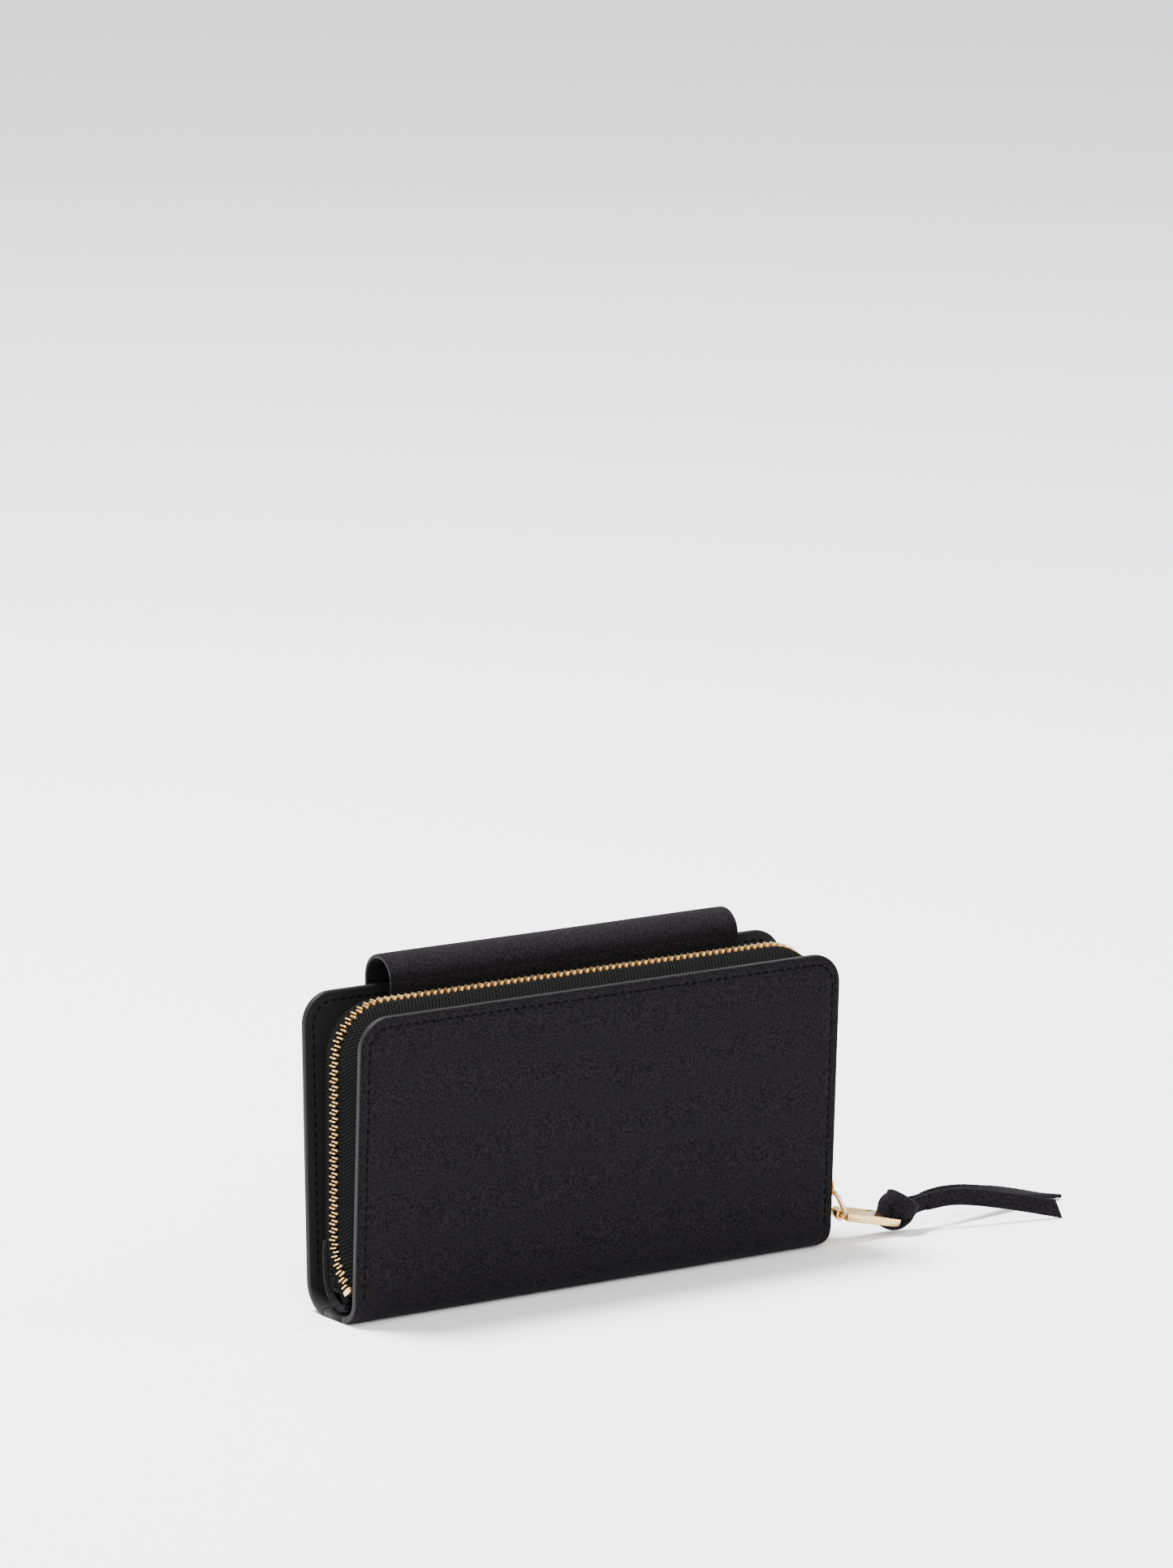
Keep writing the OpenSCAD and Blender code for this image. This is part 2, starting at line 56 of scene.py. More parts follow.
# Driving dimensions, in millimetres, as in the CAD source
WALLET_W = (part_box("front_cover")[1][0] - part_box("front_cover")[0][0]) / MM
CORNER_R = 10.5
FRONT_LEAN = math.radians(1.8)
REAR_LEAN = math.radians(2.3)
FRONT_H = 102.0
REAR_H = 104.5
FRONT_AXIS = (-5.5, 8.0)
REAR_AXIS = (5.5, 10.5)
FRONT_L = (FRONT_H - FRONT_AXIS[1]) / math.cos(FRONT_LEAN)
REAR_L = (REAR_H - REAR_AXIS[1]) / math.cos(REAR_LEAN)
COVER_T = 2.6
FOLD_T = 2.4
STITCH_INSET = 3.2
STITCH_PITCH = 3.2

CHAIN_X = WALLET_W / 2 - 0.6
CHAIN_TOP = 103.0
CHAIN_R = 18.0
CHAIN_Y = -0.5
TAPE_T = 0.8
TOOTH_PITCH = 2.6
TOOTH_H = 2.4
TOOTH_T = 1.15
LEFT_BEND = (CHAIN_Y, 22.0)
LEFT_END = (-10.5, 9.0)
RIGHT_TOP = (CHAIN_Y, CHAIN_TOP - CHAIN_R)
RIGHT_BEND = (-6.3, 13.6)
RIGHT_END = (-10.3, 10.0)
TURN_R = 20.0
STOP_L = 1.8
TOP_STOP_S = 3.0
BOTTOM_STOP_BACK = 3.2

DIVIDER_Y = 3.3
DIVIDER_T = 2.4
DIVIDER_LOW = 10.0
DIVIDER_W = 187.4
DIVIDER_BACK = DIVIDER_Y + DIVIDER_T

TAB_W = (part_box("closure_tab")[1][0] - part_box("closure_tab")[0][0]) / MM
TAB_AXIS = (13.7, 106.9)
TAB_R = 8.0
TAB_T = 1.5
TAB_LOW = 60.0
TAB_ROOT_LOW = 76.0
SNAP_Z = 72.0

LACE_W = 5.8
LACE_T = 1.4

# The middle lines of the lace's two tails
TAIL_FRONT = [
    (137.2, -9.6, 9.4), (140, -10.4, 9.8), (143, -11.1, 10.2), (146, -11.9, 10.4), (149, -12.7, 10.3),
    (152, -13.5, 10), (155, -14.4, 9.6), (158, -15.2, 9.1), (161, -16, 8.5), (164, -16.8, 7.9),
    (167, -17.6, 7.3), (170, -18.4, 6.6), (173, -19.2, 5.9), (176, -19.9, 5.2), (179, -20.7, 4.4),
    (182, -21.4, 3.7), (184.5, -22, 3.1),
]
TAIL_REAR = [
    (137.2, -7.8, 9.5), (140, -7.5, 9.9), (143, -7.2, 10.1), (146, -6.9, 10.2), (149, -6.6, 10.1),
    (152, -6.3, 9.9), (155, -5.9, 9.6), (158, -5.5, 9.2), (161, -5.1, 8.7), (164, -4.7, 8.2),
    (167, -4.3, 7.7), (170, -3.9, 7.2), (173, -3.5, 6.7), (176, -3, 6.1), (179, -2.6, 5.5),
    (182, -2.1, 4.9), (185, -1.7, 4.2), (188, -1.3, 3.5), (191, -0.9, 2.8), (194, -0.5, 2.1),
    (197, -0.2, 1.5), (200, 0, 1),
]


# ---- camera

def make_camera(place, heading, pitch, roll, lens):
    """A camera at a place in metres that looks along a heading from +Y towards +X, tipped down."""
    ahead = Vector((math.sin(heading), math.cos(heading), 0))
    forward = ahead * math.cos(pitch) - Vector((0, 0, math.sin(pitch)))
    level = Vector((math.cos(heading), -math.sin(heading), 0))
    upright = level.cross(forward)
    right = level * math.cos(roll) + upright * math.sin(roll)
    up = upright * math.cos(roll) - level * math.sin(roll)
    data = bpy.data.cameras.new("camera")
    data.lens = lens
    data.sensor_width = 36
    data.clip_end = 60
    camera = bpy.data.objects.new("camera", data)
    axes = Matrix((right, up, -forward)).transposed().to_4x4()
    camera.matrix_world = Matrix.Translation(place) @ axes
    bpy.context.collection.objects.link(camera)
    bpy.context.scene.camera = camera


make_camera(
    place=Vector((-1.4691, -2.0933, 0.6694)),
    heading=math.radians(35.114),
    pitch=math.radians(11.139),
    roll=math.radians(0.509),
    lens=184.43,
)


# ---- materials

class Nodes:
    """One material's node tree."""

    def __init__(self, name):
        self.material = bpy.data.materials.new(name)
        self.material.use_nodes = True
        self.tree = self.material.node_tree
        self.shader = self.tree.nodes["Principled BSDF"]
        self.coords = self.tree.nodes.new("ShaderNodeTexCoord")

    def add(self, kind, settings=None, **inputs):
        made = self.tree.nodes.new(kind)
        for key, value in (settings or {}).items():
            setattr(made, key, value)
        for key, value in inputs.items():
            self.put(made, key.replace("_", " "), value)
        return made

    def put(self, made, socket, value):
        target = made.inputs[int(socket)] if socket.isdigit() else made.inputs[socket]
        if isinstance(value, bpy.types.NodeSocket):
            self.tree.links.new(value, target)
        else:
            target.default_value = value

    def set(self, **inputs):
        for key, value in inputs.items():
            self.put(self.shader, key.replace("_", " "), value)

    def noise(self, scale, detail=3.0, rough=0.6, distortion=0.0):
        made = self.add("ShaderNodeTexNoise", Vector=self.coords.outputs["Object"], Scale=scale,
                        Detail=detail, Roughness=rough, Distortion=distortion)
        return made.outputs["Fac"]

    def ramp(self, value, stops):
        made = self.add("ShaderNodeValToRGB", Fac=value)
        elements = made.color_ramp.elements
        while len(elements) < len(stops):
            elements.new(0.5)
        for element, (place, colour) in zip(elements, stops):
            element.position = place
            element.color = (*colour, 1)
        return made.outputs["Color"]

    def maths(self, operation, a, b=0.0):
        made = self.add("ShaderNodeMath", {"operation": operation})
        self.put(made, "0", a)
        self.put(made, "1", b)
        return made.outputs[0]

    def bump(self, height, distance, strength=1.0, normal=None):
        made = self.add("ShaderNodeBump", Height=height, Distance=distance, Strength=strength)
        if normal is not None:
            self.put(made, "Normal", normal)
        return made.outputs["Normal"]


NAP_SCALE = 1700.0
WEAVE_SCALE = 0.32 / 0.00045


def grey(value):
    return (value, value, value)


def plum(value):
    """The suede's black, a touch towards purple."""
    return (value * 1.05, value * 0.95, value * 1.08)


def suede(name, dark, light):
    """Short matt nap: clumps of fine fibres with a soft sheen at grazing angles."""
    n = Nodes(name)
    clump = n.noise(NAP_SCALE, 3, 0.7)
    fibre = n.noise(NAP_SCALE * 3, 2, 0.6)
    mixed = n.maths("ADD", n.maths("MULTIPLY", clump, 0.65), n.maths("MULTIPLY", fibre, 0.35))
    n.set(Base_Color=n.ramp(mixed, [(0.43, plum(dark)), (0.57, plum(light))]))
    n.set(Roughness=0.95, Specular_IOR_Level=0.05, Sheen_Weight=0.04, Sheen_Roughness=0.4)
    n.set(Sheen_Tint=(0.75, 0.7, 0.76, 1))
    n.set(Normal=n.bump(mixed, 0.0003, 0.85))
    return n.material


def edge_paint(name):
    """Rubbery edge paint: dark grey, slightly glossy, with small ripples."""
    n = Nodes(name)
    ripple = n.noise(700, 3, 0.6)
    n.set(Base_Color=n.ramp(n.noise(1200, 3, 0.6), [(0.35, grey(0.0045)), (0.65, grey(0.0085))]))
    n.set(Roughness=n.maths("ADD", n.maths("MULTIPLY", ripple, 0.2), 0.42))
    n.set(Specular_IOR_Level=0.12)
    n.set(Normal=n.bump(ripple, 0.0001, 0.6))
    return n.material


def woven(name, dark, light):
    """Plain weave lining: crossing threads from two wave textures."""
    n = Nodes(name)
    warp, weft = [
        n.add("ShaderNodeTexWave", {"bands_direction": way}, Vector=n.coords.outputs["Object"],
              Scale=WEAVE_SCALE, Distortion=0.4, Detail=1.0).outputs["Fac"] for way in "XZ"]
    cloth = n.maths("MULTIPLY", warp, weft)
    n.set(Base_Color=n.ramp(cloth, [(0.1, grey(dark)), (0.8, grey(light))]))
    n.set(Roughness=0.82, Specular_IOR_Level=0.1, Sheen_Weight=0.05, Sheen_Roughness=0.5)
    n.set(Normal=n.bump(cloth, 0.00012, 0.6, n.bump(n.noise(90, 2), 0.0004, 0.25)))
    return n.material


def herringbone(name):
    """Zip tape: rows of slanted ribs that turn back at each step across the tape."""
    n = Nodes(name)
    uv = n.add("ShaderNodeSeparateXYZ", Vector=n.coords.outputs["UV"])
    along, across = uv.outputs["X"], uv.outputs["Y"]
    column = n.maths("PINGPONG", across, 1.2)
    slanted = n.maths("ADD", along, n.maths("MULTIPLY", column, 1.1))
    ridge = n.maths("DIVIDE", n.maths("PINGPONG", slanted, 0.65), 0.65)
    weave = n.maths("ADD", n.maths("MULTIPLY", ridge, 0.75), n.maths("MULTIPLY", n.noise(1300, 2), 0.4))
    n.set(Base_Color=n.ramp(weave, [(0.35, grey(0.0002)), (0.65, grey(0.002)), (0.95, grey(0.016))]))
    n.set(Roughness=0.9, Specular_IOR_Level=0.03)
    n.set(Normal=n.bump(weave, 0.0005, 1.0))
    return n.material


def thread(name):
    n = Nodes(name)
    twist = n.add("ShaderNodeTexWave", {"bands_direction": "DIAGONAL"}, Vector=n.coords.outputs["Object"],
                  Scale=900.0, Distortion=0.5)
    n.set(Base_Color=n.ramp(twist.outputs["Fac"], [(0.2, grey(0.0006)), (0.9, grey(0.002))]))
    n.set(Roughness=0.85, Specular_IOR_Level=0.03)
    n.set(Normal=n.bump(twist.outputs["Fac"], 0.00006, 0.6))
    return n.material


def gold(name, rough=0.18, wear=0.12):
    """Pale gold plating with faint polishing marks and small dull spots."""
    n = Nodes(name)
    spots = n.noise(420, 4, 0.6)
    marks = n.noise(1500, 2, 0.5, distortion=2.0)
    n.set(Metallic=1.0)
    n.set(Base_Color=n.ramp(spots, [(0.3, (0.62, 0.40, 0.16)), (0.65, (0.80, 0.56, 0.27))]))
    n.set(Roughness=n.maths("ADD", n.maths("MULTIPLY", spots, wear), rough))
    n.set(Normal=n.bump(marks, 0.00002, 0.35))
    return n.material


SUEDE = suede("black_suede", 0.0008, 0.0094)
LACE = suede("lace_suede", 0.0011, 0.0094)
EDGE = edge_paint("edge_paint")
LINING = woven("black_lining", 0.0035, 0.009)
TAPE = herringbone("zip_tape")
THREAD = thread("black_thread")
TEETH = gold("teeth_gold", 0.24)
METAL = gold("hardware_gold", 0.2, 0.1)


# ---- mesh helpers

def placed(name, data):
    obj = bpy.data.objects.new(name, data)
    bpy.context.collection.objects.link(obj)
    return obj


def build(name, points, faces, materials, face_materials=None, uvs=None):
    """A mesh object from points in millimetres."""
    mesh = bpy.data.meshes.new(name)
    mesh.from_pydata([tuple(c * MM for c in p) for p in points], [], faces)
    for material in materials:
        mesh.materials.append(material)
    if face_materials:
        mesh.polygons.foreach_set("material_index", face_materials)
    if uvs:
        layer = mesh.uv_layers.new(name="weave")
        for loop in mesh.loops:
            layer.data[loop.index].uv = uvs[loop.vertex_index]
    mesh.validate()
    tidy(mesh)
    mesh.polygons.foreach_set("use_smooth", [True] * len(mesh.polygons))
    return placed(name, mesh)


def tidy(mesh):
    """Turns all faces outwards."""
    work = bmesh.new()
    work.from_mesh(mesh)
    bmesh.ops.recalc_face_normals(work, faces=work.faces)
    work.to_mesh(mesh)
    work.free()


def finish_piece(obj, body, slot, *nodes):
    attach(obj, body)
    if nodes:
        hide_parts(*nodes)
    return obj


def sweep(sections, closed=True, capped=True):
    """Points and faces of a skin through sections of equal length."""
    size = len(sections[0])
    points = [p for section in sections for p in section]
    faces = []
    for i in range(len(sections) - 1):
        for k in range(size if closed else size - 1):
            a = i * size + k
            b = i * size + (k + 1) % size
            faces.append((a, b, b + size, a + size))
    if capped:
        faces.append(tuple(range(size))[::-1])
        faces.append(tuple((len(sections) - 1) * size + k for k in range(size)))
    return points, faces


def add_part(points, faces, sections):
    """Adds one more closed skin through sections to a growing mesh."""
    start = len(points)
    more, skin = sweep(sections)
    points += more
    faces += [tuple(start + p for p in face) for face in skin]


def layered(name, layers, rows, cols, material):
    """A sheet from two layers of points, one after the other, joined round the rim."""
    size = (rows + 1) * (cols + 1)
    faces = []
    for first in (0, size):
        for i in range(rows):
            for k in range(cols):
                a = first + i * (cols + 1) + k
                faces.append((a, a + 1, a + cols + 2, a + cols + 1))
    rim = list(range(cols + 1)) + [i * (cols + 1) + cols for i in range(1, rows + 1)]
    rim += [rows * (cols + 1) + k for k in reversed(range(cols))]
    rim += [i * (cols + 1) for i in reversed(range(1, rows))]
    for a, b in zip(rim, rim[1:] + rim[:1]):
        faces.append((a, b, b + size, a + size))
    return build(name, layers, faces, [material])


def smooth_line(points, steps):
    """Points along a Catmull-Rom curve through the given ones."""
    ends = [Vector(points[0]) * 2 - Vector(points[1]), Vector(points[-1]) * 2 - Vector(points[-2])]
    route = [ends[0]] + [Vector(p) for p in points] + [ends[1]]
    line = []
    for a, b, c, d in zip(route, route[1:], route[2:], route[3:]):
        for k in range(steps):
            t = k / steps
            line.append(0.5 * (2 * b + (c - a) * t + (2 * a - 5 * b + 4 * c - d) * t * t
                               + (3 * b - a - 3 * c + d) * t ** 3))
    return line + [route[-2]]


def tangents(line):
    last = len(line) - 1
    return [(line[min(i + 1, last)] - line[max(i - 1, 0)]).normalized() for i in range(last + 1)]


def rounded_rect(w, h, r, steps=4):
    """A closed outline with rounded corners, centred."""
    outline = []
    for cx, cy, start in ((1, 1, 0), (-1, 1, 90), (-1, -1, 180), (1, -1, 270)):
        for k in range(steps + 1):
            a = math.radians(start + 90 * k / steps)
            outline.append((cx * (w / 2 - r) + r * math.cos(a), cy * (h / 2 - r) + r * math.sin(a)))
    return outline


# ---- covers

FOLD_ROWS = 12
SIDE_ROWS = 36
CORNER_ROWS = 12
TOP_COLS = 60
FACE_INSET = 6.0


def cover_line(w, h, r, inset, low=0.0):
    """The outline without its lower edge, from bottom left over the top to bottom right."""
    half, top = w / 2 - r, h - r
    heights = [low * (1 - k / FOLD_ROWS) for k in range(FOLD_ROWS)]
    start = max(low, 0.0)
    heights += [start + (top - start) * k / SIDE_ROWS for k in range(SIDE_ROWS)]
    left = [(-w / 2 + inset, z) for z in (heights if low < 0 else heights[FOLD_ROWS:])]
    for k in range(CORNER_ROWS + 1):
        a = math.pi / 2 * k / CORNER_ROWS
        left.append((-half - (r - inset) * math.cos(a), top + (r - inset) * math.sin(a)))
    middle = [(-half + 2 * half * k / TOP_COLS, h - inset) for k in range(1, TOP_COLS)]
    right = [(-x, z) for x, z in reversed(left)]
    return left + middle + right


def banded(outside, edge, inside):
    """A sheet's whole edge profile, and each step's material: outer face, paint or inner face."""
    kinds = [0] * (len(outside) - 1) + [1] * (len(edge) + 1) + [2] * (len(inside) - 1)
    return outside + edge + inside, kinds


def edge_profile(t):
    """(inset, depth) from the outer face round the edge to the inner face of a sheet t thick."""
    outside = [(FACE_INSET, 0.0), (3.9, 0.02), (3.5, 0.14), (3.2, 0.28), (2.9, 0.14), (2.5, 0.02),
               (1.8, 0.0), (1.0, 0.03), (0.5, 0.1), (0.18, 0.24), (0.05, 0.42)]
    edge = [(0.0, 0.7), (-0.02, t / 2), (0.0, t - 0.6), (0.06, t - 0.34)]
    inside = [(0.22, t - 0.16), (0.6, t - 0.05), (1.2, t), (2.8, t), (3.2, t - 0.14), (3.6, t),
              (FACE_INSET, t)]
    return banded(outside, edge, inside)


def wave(x, z, seed):
    """A slow, shallow waviness of a suede face, in millimetres."""
    a = math.sin(x / 23 + seed) * math.sin(z / 19 + seed * 1.7)
    b = math.sin(x / 9.5 - z / 14 + seed * 2.3)
    return 0.10 * a + 0.04 * b


def cover_panel(name, w, h, r, t, place, materials, seed=0.0, low=0.0):
    """A bonded cover: suede face, painted edge and lining, placed by place(x, z, depth)."""
    profile, kinds = edge_profile(t)
    lines = [cover_line(w, h, r, inset, low) for inset, _ in profile]
    side = (FOLD_ROWS if low < 0 else 0) + SIDE_ROWS + CORNER_ROWS + 1
    points, faces, kinds_of = [], [], []

    def grid(line, depth, wavy, kind):
        start = len(points)
        for i in range(side):
            (x0, z), (x1, _) = line[i], line[-1 - i]
            for k in range(TOP_COLS + 1):
                f = k / TOP_COLS
                x = x0 + (x1 - x0) * f
                fade = min(1.0, 8 * f * (1 - f)) * max(0.0, min(1.0, z / 12, (h - z) / 12))
                points.append(place(x, z, depth + wavy * fade * wave(x, z, seed)))
        for i in range(side - 1):
            for k in range(TOP_COLS):
                a = start + i * (TOP_COLS + 1) + k
                faces.append((a, a + 1, a + TOP_COLS + 2, a + TOP_COLS + 1))
                kinds_of.append(kind)
        rim = [start + i * (TOP_COLS + 1) for i in range(side)]
        rim += [start + (side - 1) * (TOP_COLS + 1) + k for k in range(1, TOP_COLS)]
        rim += [start + i * (TOP_COLS + 1) + TOP_COLS for i in reversed(range(side))]
        floor = [start + k for k in range(TOP_COLS + 1)]
        return rim, floor

    rings = [None] * len(profile)
    rings[0], outer_floor = grid(lines[0], 0.0, 1.0, 0)
    for i in range(1, len(profile) - 1):
        rings[i] = list(range(len(points), len(points) + len(lines[i])))
        points.extend(place(x, z, profile[i][1]) for x, z in lines[i])
    rings[-1], inner_floor = grid(lines[-1], t, 0.4, 2)
    for i, kind in enumerate(kinds):
        for k in range(len(rings[i]) - 1):
            faces.append((rings[i][k], rings[i][k + 1], rings[i + 1][k + 1], rings[i + 1][k]))
            kinds_of.append(kind)
    right = [ring[-1] for ring in rings[1:-1]]
    left = [ring[0] for ring in reversed(rings[1:-1])]
    faces.append(tuple(outer_floor + right + inner_floor[::-1] + left))
    kinds_of.append(1)
    return build(name, points, faces, materials, kinds_of)


def leaning(side, axis, radius, lean):
    """Places a cover's points: front with side -1, rear with side 1. Below zero it is the fold."""
    angle = -side * lean

    def place(x, z, depth):
        if z < 0:
            turn = -QUARTER + side * (QUARTER - lean + z / radius)
            reach = radius - depth
            return (x, axis[0] + reach * math.cos(turn), axis[1] + reach * math.sin(turn))
        y = side * (radius - depth)
        return (
            x,
            axis[0] + y * math.cos(angle) - z * math.sin(angle),
            axis[1] + y * math.sin(angle) + z * math.cos(angle),
        )
    return place


front_place = leaning(-1, FRONT_AXIS, FRONT_AXIS[1], FRONT_LEAN)
rear_place = leaning(1, REAR_AXIS, REAR_AXIS[1], REAR_LEAN)
FRONT_ARC = FRONT_AXIS[1] * (QUARTER - FRONT_LEAN)
REAR_ARC = REAR_AXIS[1] * (QUARTER - REAR_LEAN)
SHEET = [SUEDE, EDGE, LINING]


def turning_cover(panel, body, axis, side, *nodes):
    """A cover and its fold in one sheet: bakes the panel's placement into its mesh and hides the CAD parts it
    stands for.
    """
    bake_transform(panel)
    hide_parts(*nodes)


front_panel = cover_panel("front_cover_panel", WALLET_W, FRONT_L, CORNER_R, COVER_T, front_place, SHEET, 0.4,
                          -FRONT_ARC)
turning_cover(front_panel, "front_half", FRONT_AXIS, -1,
              "front_cover", "front_board", "front_lining", "front_fold", "front_fold_lining")
rear_panel = cover_panel("rear_cover_panel", WALLET_W, REAR_L, CORNER_R, COVER_T, rear_place, SHEET, 2.1,
                         -REAR_ARC)
turning_cover(rear_panel, "rear_half", REAR_AXIS, 1,
              "rear_cover", "rear_board", "rear_lining", "rear_fold", "rear_fold_lining")


def sheet_loop(half, t, profile, cols, dip=0.0):
    """A sheet's closed section as (x, depth): its outer face, one edge, its inner face, the other."""
    inner = half - profile[0][0]
    across = [-inner + 2 * inner * k / cols for k in range(cols + 1)]
    loop = [(x, dip * math.cos(x / 17)) for x in across]
    loop += [(half - inset, depth) for inset, depth in profile[1:-1]]
    loop += [(x, t) for x in reversed(across)]
    loop += [(-half + inset, depth) for inset, depth in reversed(profile[1:-1])]
    return loop


def bent_sheet(name, sections, cols, kinds, materials):
    """A sheet through closed sections, with its two ends painted like its edges."""
    points, faces = sweep(sections)
    sides = [0] * cols + kinds + [2] * cols + kinds[::-1]
    return build(name, points, faces, materials, sides * (len(sections) - 1) + [1, 1])


def spine_sheet():
    profile, kinds = edge_profile(FOLD_T)
    loop = sheet_loop(WALLET_W / 2, FOLD_T, profile, TOP_COLS)
    sections = [[(x, y, depth) for x, depth in loop] for y in (FRONT_AXIS[0], 0.0, REAR_AXIS[0])]
    return bent_sheet("spine_sheet", sections, TOP_COLS, kinds, SHEET)


spine = spine_sheet()
finish_piece(spine, "core", "suede", "spine_cover", "spine_lining")


# ---- stitching

OUTER_STITCHES = 0.26
INNER_STITCHES = COVER_T - 0.16


def stitches(name, line, normals, body, length=2.1, pitch=STITCH_PITCH, width=0.75):
    """Thread stitches along a line of points: each rises from one hole and dives into the next."""
    lengths = [0.0]
    for a, b in zip(line, line[1:]):
        lengths.append(lengths[-1] + (b - a).length)
    count = int(lengths[-1] / pitch)
    points, faces = [], []
    index = 0
    for n in range(count):
        middle = (n + 0.5) * lengths[-1] / count
        while lengths[index + 1] < middle:
            index += 1
        a, b = line[index], line[index + 1]
        f = (middle - lengths[index]) / (lengths[index + 1] - lengths[index])
        centre, along, up = a.lerp(b, f), (b - a).normalized(), normals[index]
        add_stitch(points, faces, centre, along, up, length, width)
    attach(build(name, points, faces, [THREAD]), body)


def add_stitch(points, faces, centre, along, up, length, width):
    """One stitch: a bowed, tapered strand with a round section."""
    across = along.cross(up)
    rings, sides = 7, 6
    sections = []
    for i in range(rings):
        f = i / (rings - 1)
        swell = math.sin(math.pi * (0.12 + 0.76 * f))
        middle = centre + along * (f - 0.5) * length + up * (0.3 * swell - 0.24)
        radius = width / 2 * (0.55 + 0.45 * swell)
        turns = [2 * math.pi * k / sides for k in range(sides)]
        sections.append([middle + across * radius * math.cos(a) + up * radius * 0.8 * math.sin(a)
                         for a in turns])
    add_part(points, faces, sections)


def cover_stitches(name, h, place, body, depth, sign):
    """The stitch line round a cover on one of its faces."""
    line = [Vector(place(x, z, depth)) for x, z in cover_line(WALLET_W, h, CORNER_R, STITCH_INSET, 1.0)]
    up = (Vector(place(0, 10, -sign)) - Vector(place(0, 10, 0))).normalized()
    stitches(name, line, [up] * len(line), body)


for end, h, place, body in (("front", FRONT_L, front_place, "front_half"),
                            ("rear", REAR_L, rear_place, "rear_half")):
    cover_stitches(f"{end}_outer_stitches", h, place, body, OUTER_STITCHES, 1)
    cover_stitches(f"{end}_inner_stitches", h, place, body, INNER_STITCHES, -1)


# ---- zip

def lerp2(a, b, f):
    return (a[0] + (b[0] - a[0]) * f, a[1] + (b[1] - a[1]) * f)


TURN = math.atan2(LEFT_BEND[0] - LEFT_END[0], LEFT_BEND[1] - LEFT_END[1])
TURN_REACH = TURN_R * math.tan(TURN / 2)
TURN_START = (LEFT_BEND[0] - TURN_REACH * math.sin(TURN), LEFT_BEND[1] - TURN_REACH * math.cos(TURN))
TURN_END = (LEFT_BEND[0], LEFT_BEND[1] + TURN_REACH)


def chain_parts():
    """The chain's stretches as (length, pose function of a fraction)."""
    def side_run(side, start, end):
        length = math.dist(start, end)
        tilt = math.atan2(end[0] - start[0], -side * (end[1] - start[1])) * side

        def pose(f):
            y, z = lerp2(start, end, f)
            return Vector((side * CHAIN_X, y, z)), side * QUARTER, tilt
        return length, pose

    def left_turn():
        def pose(f):
            a = TURN * (1 - f)
            y = TURN_END[0] - TURN_R + TURN_R * math.cos(a)
            z = TURN_END[1] - TURN_R * math.sin(a)
            return Vector((-CHAIN_X, y, z)), -QUARTER, -a
        return TURN_R * TURN, pose

    def corner(side):
        def pose(f):
            a = -QUARTER + QUARTER * f if side < 0 else QUARTER * f
            x = side * (CHAIN_X - CHAIN_R) + CHAIN_R * math.sin(a)
            z = CHAIN_TOP - CHAIN_R + CHAIN_R * math.cos(a)
            return Vector((x, CHAIN_Y, z)), a, 0.0
        return QUARTER * CHAIN_R, pose

    def top():
        length = 2 * (CHAIN_X - CHAIN_R)

        def pose(f):
            return Vector((-length / 2 + length * f, CHAIN_Y, CHAIN_TOP)), 0.0, 0.0
        return length, pose

    return [
        side_run(-1, LEFT_END, TURN_START),
        left_turn(),
        side_run(-1, TURN_END, RIGHT_TOP),
        corner(-1),
        top(),
        corner(1),
        side_run(1, RIGHT_TOP, RIGHT_BEND),
        side_run(1, RIGHT_BEND, RIGHT_END),
    ]


CHAIN = chain_parts()
CHAIN_L = sum(length for length, _ in CHAIN)
SLIDER_S = CHAIN_L - CHAIN[-1][0] - 5.5


def chain_frame(s):
    """The point at the length s along the chain, with the directions along it, across it and out."""
    s = min(max(s, 0.0), CHAIN_L - 1e-6)
    for length, pose in CHAIN:
        if s <= length:
            break
        s -= length
    point, turn, tilt = pose(s / length)
    axes = Matrix.Rotation(tilt, 3, "X") @ Matrix.Rotation(turn, 3, "Y")
    return point, axes @ Vector((1, 0, 0)), axes @ Vector((0, 1, 0)), axes @ Vector((0, 0, 1))


def front_inner_y(z):
    """Where the front cover's inner face is at the height z."""
    radius = FRONT_AXIS[1] - COVER_T
    return FRONT_AXIS[0] - radius / math.cos(FRONT_LEAN) - (z - FRONT_AXIS[1]) * math.tan(FRONT_LEAN)


TAPE_STEP = 0.3
TAPE_ROWS = 16
RIB_TURN = 1.2
RIB_SLANT = 1.1
RIB_HALF = 0.65
RIB_HEIGHT = 0.18
TAPE_EDGE = 1.8
REAR_REACH = 6.2


def tape_line(s, side):
    """The tape's middle line across it at s, from under the teeth to the cover or the divider."""
    point, _, across, out = chain_frame(s)
    near = point + across * side * TAPE_EDGE
    if side > 0:
        far = point + across * REAR_REACH
        far.y = min(far.y, DIVIDER_BACK)
        plunge = 0.6
    else:
        far = Vector((point.x, front_inner_y(point.z), point.z))
        plunge = 1.2 + 2.6 * max(0.0, out.z) ** 2
    line = []
    for k in range(TAPE_ROWS + 1):
        f = k / TAPE_ROWS
        line.append(near.lerp(far, f) - out * plunge * f ** 1.8)
    return line, out


def rib(s, v):
    """The height of the tape's slanted ribs at s along it and v across it."""
    column = RIB_TURN - abs(v % (2 * RIB_TURN) - RIB_TURN)
    return RIB_HEIGHT * (0.5 - 0.5 * math.cos(math.pi * (s + RIB_SLANT * column) / RIB_HALF))


